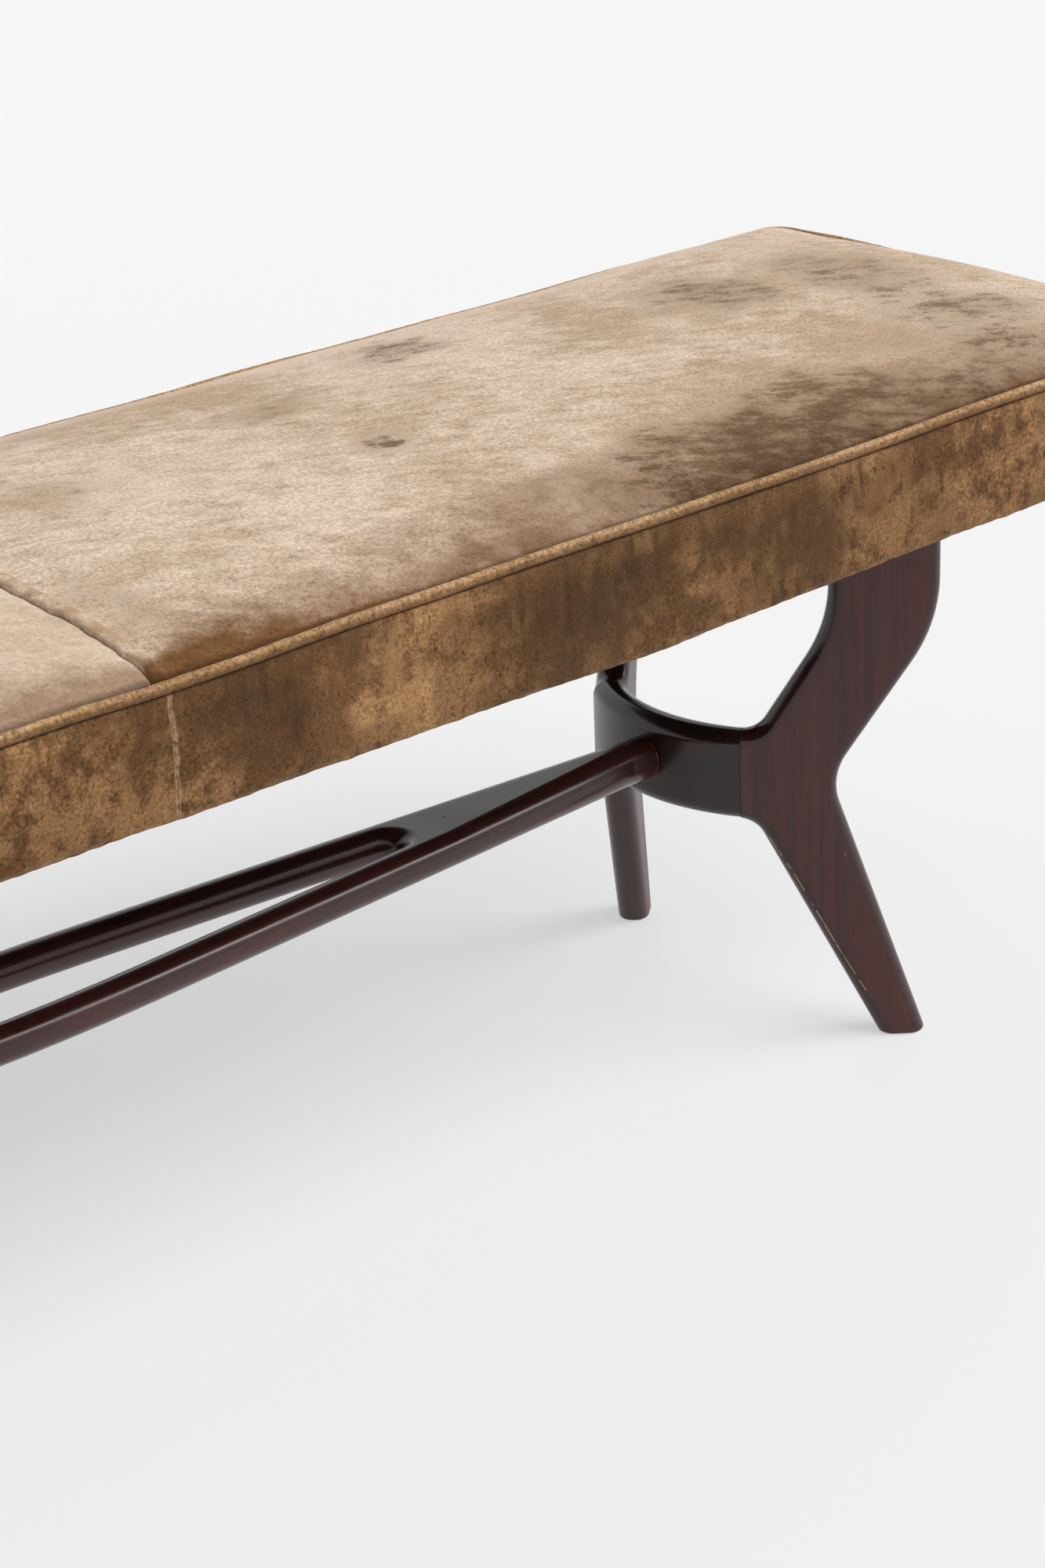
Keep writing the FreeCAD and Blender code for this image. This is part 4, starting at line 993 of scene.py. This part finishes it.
def band_marks(g, place, blurred, settings):
    """Long shades of a band; then its light stretch, a painted highlight near its top, bared seam
    and hem, and painted shade in the crease under the piping.
    """
    crushed = g.ramp(g.noise(blurred, 7.0, 3.0), 0.3, 0.75)
    rise = g.node("Attribute", attribute_name="rise").outputs["Fac"]
    axes = g.axes(place)
    ahead = g.math("LESS_THAN", axes["Y"], 0.0)
    seam = g.less(axes["X"], g.times(ahead, FRONT_SEAM_X))
    shake = g.centred(g.noise(place, 70.0), 4.0 * MM)
    frayed = g.ramp(g.noise(place, 320.0), 0.25, 0.6)
    worn = g.times(g.line(g.plus(seam, shake), 0.5 * MM, 1.9 * MM), frayed)
    hem = g.times(g.ramp(rise, 0.07, 0.0), g.ramp(g.noise(place, 60.0), 0.4, 0.7))
    bare = g.most(g.times(worn, 0.75), g.times(hem, 0.4))
    wavy = g.plus(axes["X"], g.times(shake, 2.0))
    lit = g.times(g.ramp(wavy, *LIT_IN), g.ramp(wavy, *LIT_OUT), ahead)
    # Painted highlight: the upper edge of the band is lightened.
    upper_highlight = g.times(g.ramp(rise, 0.76, 0.94), 0.6)
    # Painted shade in the crease under the piping.
    sewn = g.times(g.ramp(rise, 0.965, 1.0), 0.1)

    def over(colour):
        colour = g.mix(g.most(lit, upper_highlight), colour, LIT_GAIN, "MULTIPLY")
        colour = g.mix(bare, colour, settings.worn_edge)
        return g.mix(sewn, colour, crease_shade(settings))

    return crushed, over


def piping_marks(g, place, blurred, settings):
    """Faint wear of the piping; then the shade of its lower half."""
    crushed = g.times(g.ramp(g.noise(blurred, 6.0), 0.45, 0.7), 0.4)
    under = g.times(g.ramp(g.axes(g.normal())["Z"], 0.85, 0.0), 0.6)
    return crushed, lambda colour: g.mix(under, colour, settings.roll_shade, "MULTIPLY")


# Each velvet's marks and three tones, then the turn and fineness of its strokes, the scales of
# its patches and blotches, how much the blotches show, and its depth of pile and its sheen.
VELVETS = {
    "top": (top_marks, ("top_pale", "top_mid", "top_dark"),
            math.radians(22), (48, 135, 135), 5.0, 52.0, 0.45, 1.0, 0.22),
    "side": (band_marks, ("side_pale", "side_mid", "side_dark"),
             0.0, (105, 105, 34), 12.0, 72.0, 1.3, 1.7, 0.1),
    "piping": (piping_marks, ("piping_pale", "piping_mid", "side_mid"),
               0.0, (105, 105, 34), 12.0, 72.0, 0.5, 1.7, 0.1),
}
DRIFT_SCALE, DRIFT = 24.0, 0.06


def velvet_material(name, settings, part):
    """Velvet of the top, of the bands or of the piping."""
    marks, tones, turn, strokes, patch, blotch, much, pile, sheen = VELVETS[part]
    material, g, shader = new_material(name)
    place = g.place()
    drift = g.vector("SUBTRACT", g.noise(place, DRIFT_SCALE, 4.0, 0.6, "Color"), (0.5, 0.5, 0.5))
    blurred = g.vector("ADD", place, g.vector("SCALE", drift, scale=DRIFT))
    crushed, over = marks(g, place, blurred, settings)
    pale, middle, dark = (getattr(settings, tone) for tone in tones)
    nap = g.group(nap_group(), {
        "Vector": place, "Stroke Vector": g.stretch(g.stretch(place, turn=turn), strokes),
        "Pale": pale, "Middle": middle, "Dark": dark, "Crushed": crushed,
        "Patch Scale": patch, "Blotch Scale": blotch, "Blotch": much,
        "Pile Depth": settings.pile_depth * pile})
    dress(g, shader, {
        "Base Color": over(nap["Color"]), "Roughness": 0.95, "Specular IOR Level": 0.1,
        "Sheen Weight": sheen, "Sheen Roughness": 0.5, "Sheen Tint": (1.0, 0.9, 0.78),
    }, relief=(nap["Height"], 0.5, 0.8 * MM))
    return material


# Polished wood

PORE_DARK = (0.008, 0.003, 0.003)
# Painted shade for the rounded edges of the wood.
EDGE_SHADE = (0.009, 0.004, 0.004)
CRACK_DARK = (0.002, 0.0015, 0.0015)


@shared("French Polish", {
    "Grain Vector": NOWHERE, "Vector": NOWHERE, "Red": BROWN, "Dark": BROWN, "Gloss": 0.2,
}, Color="Color", Roughness="Float", Height="Float")
def polish_group(g, take):
    """Dark polished wood: grain colour, roughness and fine height."""
    figure = g.noise(take["Grain Vector"], 1.0, 5.0, 0.6)
    pores = g.noise(take["Grain Vector"], 6.0, 3.0, 0.7)
    cloud = g.noise(take["Vector"], 14.0, 3.0, 0.55)
    share = g.plus(g.times(g.ramp(figure, 0.34, 0.7), 0.5), g.times(g.ramp(cloud, 0.3, 0.7), 0.35),
                   0.08)
    tone = g.mix(share, take["Dark"], take["Red"])
    tone = g.mix(g.times(g.ramp(pores, 0.56, 0.7), 0.5), tone, PORE_DARK)
    haze = g.ramp(cloud, 0.3, 0.7, to=(-0.04, 0.07), kind="LINEAR")
    return {"Color": tone, "Roughness": g.plus(take["Gloss"], haze),
            "Height": g.less(cloud, g.times(pores, 0.3))}


@shared("Scratch", {
    "Vector": NOWHERE, "Start": NOWHERE, "End": (1.0, 0.0, 0.0), "Half Width": 0.5 * MM,
}, Mask="Float")
def scratch_group(g, take):
    """A thin mark between two places."""
    run = g.vector("SUBTRACT", take["End"], take["Start"])
    off = g.vector("SUBTRACT", take["Vector"], take["Start"])
    along, whole = g.vector("DOT_PRODUCT", off, run), g.vector("DOT_PRODUCT", run, run)
    foot = g.vector("SCALE", run, scale=g.math("DIVIDE", along, whole, clamp=True))
    far = g.math("DIVIDE", g.vector("DISTANCE", off, foot), take["Half Width"])
    return {"Mask": g.ramp(far, 1.0, 0.5)}


# Chipped polish along the inner edge of the front right leg, and its small nicks.
CHIP_LINE = (
    (0.5272, -0.0667, 0.1622), (0.5353, -0.0733, 0.1578), (0.5462, -0.078, 0.1414),
    (0.5545, -0.0874, 0.1216), (0.5659, -0.0972, 0.0932), (0.5773, -0.1071, 0.0645),
    (0.5913, -0.1198, 0.0313))
CHIP_HALF = (1.6 * MM, 1.0 * MM, 0.65 * MM, 0.65 * MM, 0.7 * MM, 0.5 * MM)
LEG_CHIPS = (*zip(CHIP_LINE, CHIP_LINE[1:], CHIP_HALF),
             ((0.5796, -0.1105, 0.1299), (0.5827, -0.1131, 0.1417), 0.35 * MM))
# A crack and pits in the flat of the stretcher's right-hand fork.
WEB_CRACKS = (
    ((0.3747, 0.0039, 0.1993), (0.366, -0.0065, 0.1993), 0.5 * MM),
    ((0.366, -0.0065, 0.1993), (0.36, -0.0125, 0.1993), 0.4 * MM),
    ((0.4134, 0.0025, 0.1993), (0.4207, 0.0019, 0.1993), 0.6 * MM),
    ((0.3405, 0.0003, 0.1993), (0.342, 0.0008, 0.1993), 0.9 * MM))
# Where glue has squeezed out round the stretcher's ends.
GLUE_X = 508.8 * MM


def marks_mask(g, place, marks):
    """One on any of the thin marks."""
    return g.most(0.0, *(
        g.group(scratch_group(), {"Vector": place, "Start": start, "End": end, "Half Width": half}
                )["Mask"] for start, end, half in marks))


def wood_material(name, settings, scale, flat=None, shade=(1, 1, 1), joint=None, chips=(),
                  cracks=(), glued=False):
    """Polished wood; flat is the way its broad faces look, joint its mitre's corner of the plan."""
    material, g, shader = new_material(name)
    place = g.place()
    red, brown = ([c * k for c, k in zip(tone, shade)] for tone in (settings.red, settings.dark))
    polish = g.group(polish_group(), {
        "Vector": place, "Grain Vector": g.stretch(place, scale), "Red": red, "Dark": brown,
        "Gloss": settings.gloss})
    colour, rough = polish["Color"], polish["Roughness"]
    if flat is not None:
        # Painted shade: away from the broad faces, the rounded edges are darkened.
        broad = g.ramp(g.size(g.vector("DOT_PRODUCT", g.normal(), flat)), 0.93, 0.995)
        colour = g.mix(broad, g.mix(0.55, colour, EDGE_SHADE), colour)
        rough = g.plus(rough, g.times(broad, 0.16))
    broken = g.ramp(g.noise(place, 150.0), 0.4, 0.5)
    dark = marks_mask(g, place, cracks)
    bare = g.times(marks_mask(g, place, chips), broken)
    if joint is not None:
        turn = (math.cos(JOINT_TURN), math.sin(JOINT_TURN))
        far = g.vector("DOT_PRODUCT", place, (joint[0] * turn[0], joint[1] * turn[1], 0.0))
        reach = JOINT[0] * turn[0] + JOINT[1] * turn[1]
        dark = g.most(g.line(g.less(far, reach), 0.2 * MM, 0.3 * MM), dark)
    if glued:
        ring = g.line(g.less(g.size(g.axes(place)["X"]), GLUE_X), 0.2 * MM, 0.4 * MM)
        bare = g.most(bare, g.times(ring, broken, 0.35))
    colour = g.mix(dark, g.mix(bare, colour, settings.bare), CRACK_DARK)
    rough = g.most(rough, g.times(g.most(bare, dark), 0.7))
    dress(g, shader, {"Base Color": colour, "Roughness": rough, "IOR": 1.48},
          relief=(polish["Height"], 0.12, 0.4 * MM))
    return material


class BENCH_OT_polished_wood(bpy.types.Operator):
    """Dark polish on the legs, yokes and stretcher"""

    bl_idname = "bench.polished_wood"
    bl_label = "Polished Wood"
    bl_options = {"REGISTER", "UNDO"}

    leg_grain, yoke_grain, stretcher_grain = (150, 150, 5), (14, 14, 110), (5, 90, 90)
    yoke_shade, stretcher_shade = (0.4, 0.75, 0.85), (0.8, 0.95, 1.0)

    def execute(self, context):
        settings = context.scene.bench_wood
        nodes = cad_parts
        for side, sy in (("front", -1), ("rear", 1)):
            for end, sx in (("right", 1), ("left", -1)):
                across = (-sx * math.sin(LEG_TURN), sy * math.cos(LEG_TURN), 0.0)
                place = "%s_%s" % (side, end)
                chips = LEG_CHIPS if place == "front_right" else ()
                give(nodes["leg_" + place], wood_material(
                    "polish_leg_" + place, settings, self.leg_grain, across, joint=(sx, sy),
                    chips=chips))
                give(nodes["yoke_" + place], wood_material(
                    "polish_yoke_" + place, settings, self.yoke_grain, shade=self.yoke_shade,
                    joint=(sx, sy), chips=chips[:1]))
        give(nodes["stretcher"], wood_material(
            "polish_stretcher", settings, self.stretcher_grain, shade=self.stretcher_shade,
            cracks=WEB_CRACKS, glued=True))
        return {"FINISHED"}


# Hidden pieces of the seat


def plain_wood(name, pale, dark, scale):
    material, g, shader = new_material(name)
    grain = g.noise(g.stretch(g.place(), scale), 1.0, 4.0, 0.6)
    colour = g.mix(g.ramp(grain, 0.35, 0.65), pale, dark)
    dress(g, shader, {"Base Color": colour, "Roughness": 0.65}, relief=(grain, 0.2, 0.3 * MM))
    return material


def woven(name, pale, dark, pitch):
    """Coarse plain weave."""
    material, g, shader = new_material(name)
    inputs = {"Vector": g.place(), "Scale": 1.0 / pitch / 3.2, "Distortion": 0.6, "Detail": 1.0,
              "Detail Scale": 2.0}
    weave = g.times(*(
        g.node("TexWave", inputs, wave_type="BANDS", bands_direction=way).outputs["Fac"]
        for way in ("X", "Y")))
    dress(g, shader, {"Base Color": g.mix(weave, dark, pale), "Roughness": 0.9},
          relief=(weave, 0.5, 0.4 * MM))
    return material


def steel():
    material, g, shader = new_material("screw_steel")
    cloud = g.noise(g.place(), 240.0, 3.0, 0.6)
    dress(g, shader, {
        "Base Color": g.mix(cloud, (0.42, 0.41, 0.4), (0.6, 0.58, 0.55)),
        "Roughness": g.ramp(cloud, 0.0, 1.0, to=(0.25, 0.5), kind="LINEAR"), "Metallic": 1.0})
    return material


class BENCH_OT_seat_frame(bpy.types.Operator):
    """Finishes of the rails, webbing and fixings inside the seat"""

    bl_idname = "bench.seat_frame"
    bl_label = "Seat Frame"
    bl_options = {"REGISTER", "UNDO"}

    rail_tones = ((0.56, 0.4, 0.24), (0.38, 0.24, 0.13))
    dowel_tones = ((0.62, 0.47, 0.3), (0.45, 0.31, 0.18))
    strap_tones = ((0.5, 0.38, 0.24), (0.22, 0.15, 0.08))
    hessian_tones = ((0.45, 0.33, 0.19), (0.16, 0.1, 0.05))

    def execute(self, context):
        finishes = (
            (plain_wood("rail_wood_long", *self.rail_tones, (6, 90, 90)),
             ("front_rail", "rear_rail")),
            (plain_wood("rail_wood_cross", *self.rail_tones, (90, 6, 90)),
             ("right_end_rail", "left_end_rail", "bearer_right", "bearer_left",
              "centre_cross_rail", "corner_blocks")),
            (plain_wood("dowel_wood", *self.dowel_tones, (60, 60, 60)),
             ("leg_dowels", "yoke_dowels", "frame_dowels")),
            (steel(), ("leg_screws",)),
            (woven("strap_weave", *self.strap_tones, 2.2 * MM),
             ("webbing_crosswise", "webbing_lengthwise")),
            (woven("hessian_weave", *self.hessian_tones, 2.8 * MM), ("hessian_sheet",)),
        )
        for material, names in finishes:
            for name in names:
                give(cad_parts[name], material)
        return {"FINISHED"}


# Studio


def floor_material(colour):
    """Paper that looks even and pale itself, and lights the bench like plain paper."""
    material, g, shader = new_material("paper_floor")

    def toned(share):
        return [share * c for c in colour]

    tone = g.mix(g.noise(g.place(), 0.6), colour, toned(0.985))
    seen = g.seen()
    dress(g, shader, {
        "Base Color": g.mix(seen, tone, toned(0.42)),
        "Emission Color": g.mix(seen, (0.0, 0.0, 0.0), toned(0.56)), "Emission Strength": 1.0,
        "Roughness": 0.6, "Specular IOR Level": 0.25})
    return material


class BENCH_OT_studio(bpy.types.Operator):
    """Pale floor, soft light and camera"""

    bl_idname = "bench.studio"
    bl_label = "Studio"
    bl_options = {"REGISTER", "UNDO"}

    floor_size = 60.0
    backdrop = (0.9, 0.9, 0.905)
    lamps_across = (0.2, 0.75, 1.3)
    lamp_width = math.radians(30)
    sensor = 36.0
    clipping = (0.05, 200.0)

    def lay_floor(self, context, settings):
        bpy.ops.object.select_all(action="DESELECT")
        bpy.ops.mesh.primitive_plane_add(size=self.floor_size)
        floor = context.object
        floor.name = "paper_floor"
        give(floor, floor_material(settings.floor))

    def light(self, scene, settings):
        """An even sky, and a row of soft lights far off to the front and right."""
        world = bpy.data.worlds.new("studio")
        scene.world = world
        world.use_nodes = True
        world.node_tree.nodes.clear()
        g = Graph(world.node_tree)
        shown = g.node("Background", {"Color": self.backdrop, "Strength": 1.0})
        sky = g.node("Background", {"Color": (1.0, 1.0, 1.0), "Strength": settings.sky})
        both = g.node("MixShader", {0: g.seen(), 1: sky.outputs[0], 2: shown.outputs[0]})
        g.node("OutputWorld", {0: both.outputs[0]})
        for number, across in enumerate(self.lamps_across):
            name = "key_%d" % number
            sun = bpy.data.lights.new(name, "SUN")
            sun.energy = settings.key / len(self.lamps_across)
            sun.angle = self.lamp_width
            lamp = bpy.data.objects.new(name, sun)
            lamp.rotation_euler = Vector((across, -0.75, 1.0)).to_track_quat("Z", "Y").to_euler()
            scene.collection.objects.link(lamp)

    def aim(self, scene, settings):
        """Camera where the photograph was taken from."""
        azimuth, elevation, roll = settings.azimuth, settings.elevation, settings.roll
        right = Vector((math.cos(azimuth), math.sin(azimuth), 0))
        back = Vector((math.sin(azimuth) * math.cos(elevation),
                       -math.cos(azimuth) * math.cos(elevation), math.sin(elevation)))
        up = back.cross(right)
        right = math.cos(roll) * right + math.sin(roll) * up
        up = back.cross(right)
        lens = bpy.data.cameras.new("camera")
        lens.lens = settings.lens
        lens.sensor_width = self.sensor
        lens.clip_start, lens.clip_end = self.clipping
        camera = bpy.data.objects.new("camera", lens)
        turn = Matrix((right, up, back)).transposed().to_4x4()
        camera.matrix_world = Matrix.Translation(settings.place) @ turn
        scene.collection.objects.link(camera)
        scene.camera = camera

    def execute(self, context):
        scene = context.scene
        settings = scene.bench_stage
        scene.view_settings.view_transform = "Standard"
        self.lay_floor(context, settings)
        self.light(scene, settings)
        self.aim(scene, settings)
        return {"FINISHED"}


class BENCH_PT_panel(bpy.types.Panel):
    """Lists the bench's pieces"""

    bl_idname = "BENCH_PT_panel"
    bl_label = "Upholstered Bench"
    bl_space_type = "VIEW_3D"
    bl_region_type = "UI"
    bl_category = "Bench"

    def draw(self, context):
        for operator in OPERATORS:
            self.layout.operator(operator.bl_idname)


OPERATORS = (
    BENCH_OT_velvet_top,
    BENCH_OT_velvet_bands,
    BENCH_OT_velvet_piping,
    BENCH_OT_dust_sheet,
    BENCH_OT_polished_wood,
    BENCH_OT_seat_frame,
    BENCH_OT_studio,
)
CLASSES = (BenchVelvetSettings, BenchWoodSettings, BenchStageSettings, *OPERATORS, BENCH_PT_panel)


def register():
    for item in CLASSES:
        bpy.utils.register_class(item)
    bpy.types.Scene.bench_velvet = PointerProperty(type=BenchVelvetSettings)
    bpy.types.Scene.bench_wood = PointerProperty(type=BenchWoodSettings)
    bpy.types.Scene.bench_stage = PointerProperty(type=BenchStageSettings)


def unregister():
    del bpy.types.Scene.bench_stage
    del bpy.types.Scene.bench_wood
    del bpy.types.Scene.bench_velvet
    for item in reversed(CLASSES):
        bpy.utils.unregister_class(item)


def main():
    register()
    bpy.ops.bench.velvet_top()
    bpy.ops.bench.velvet_bands()
    bpy.ops.bench.velvet_piping()
    bpy.ops.bench.dust_sheet()
    bpy.ops.bench.polished_wood()
    bpy.ops.bench.seat_frame()
    bpy.ops.bench.studio()


if __name__ == "__main__":
    main()
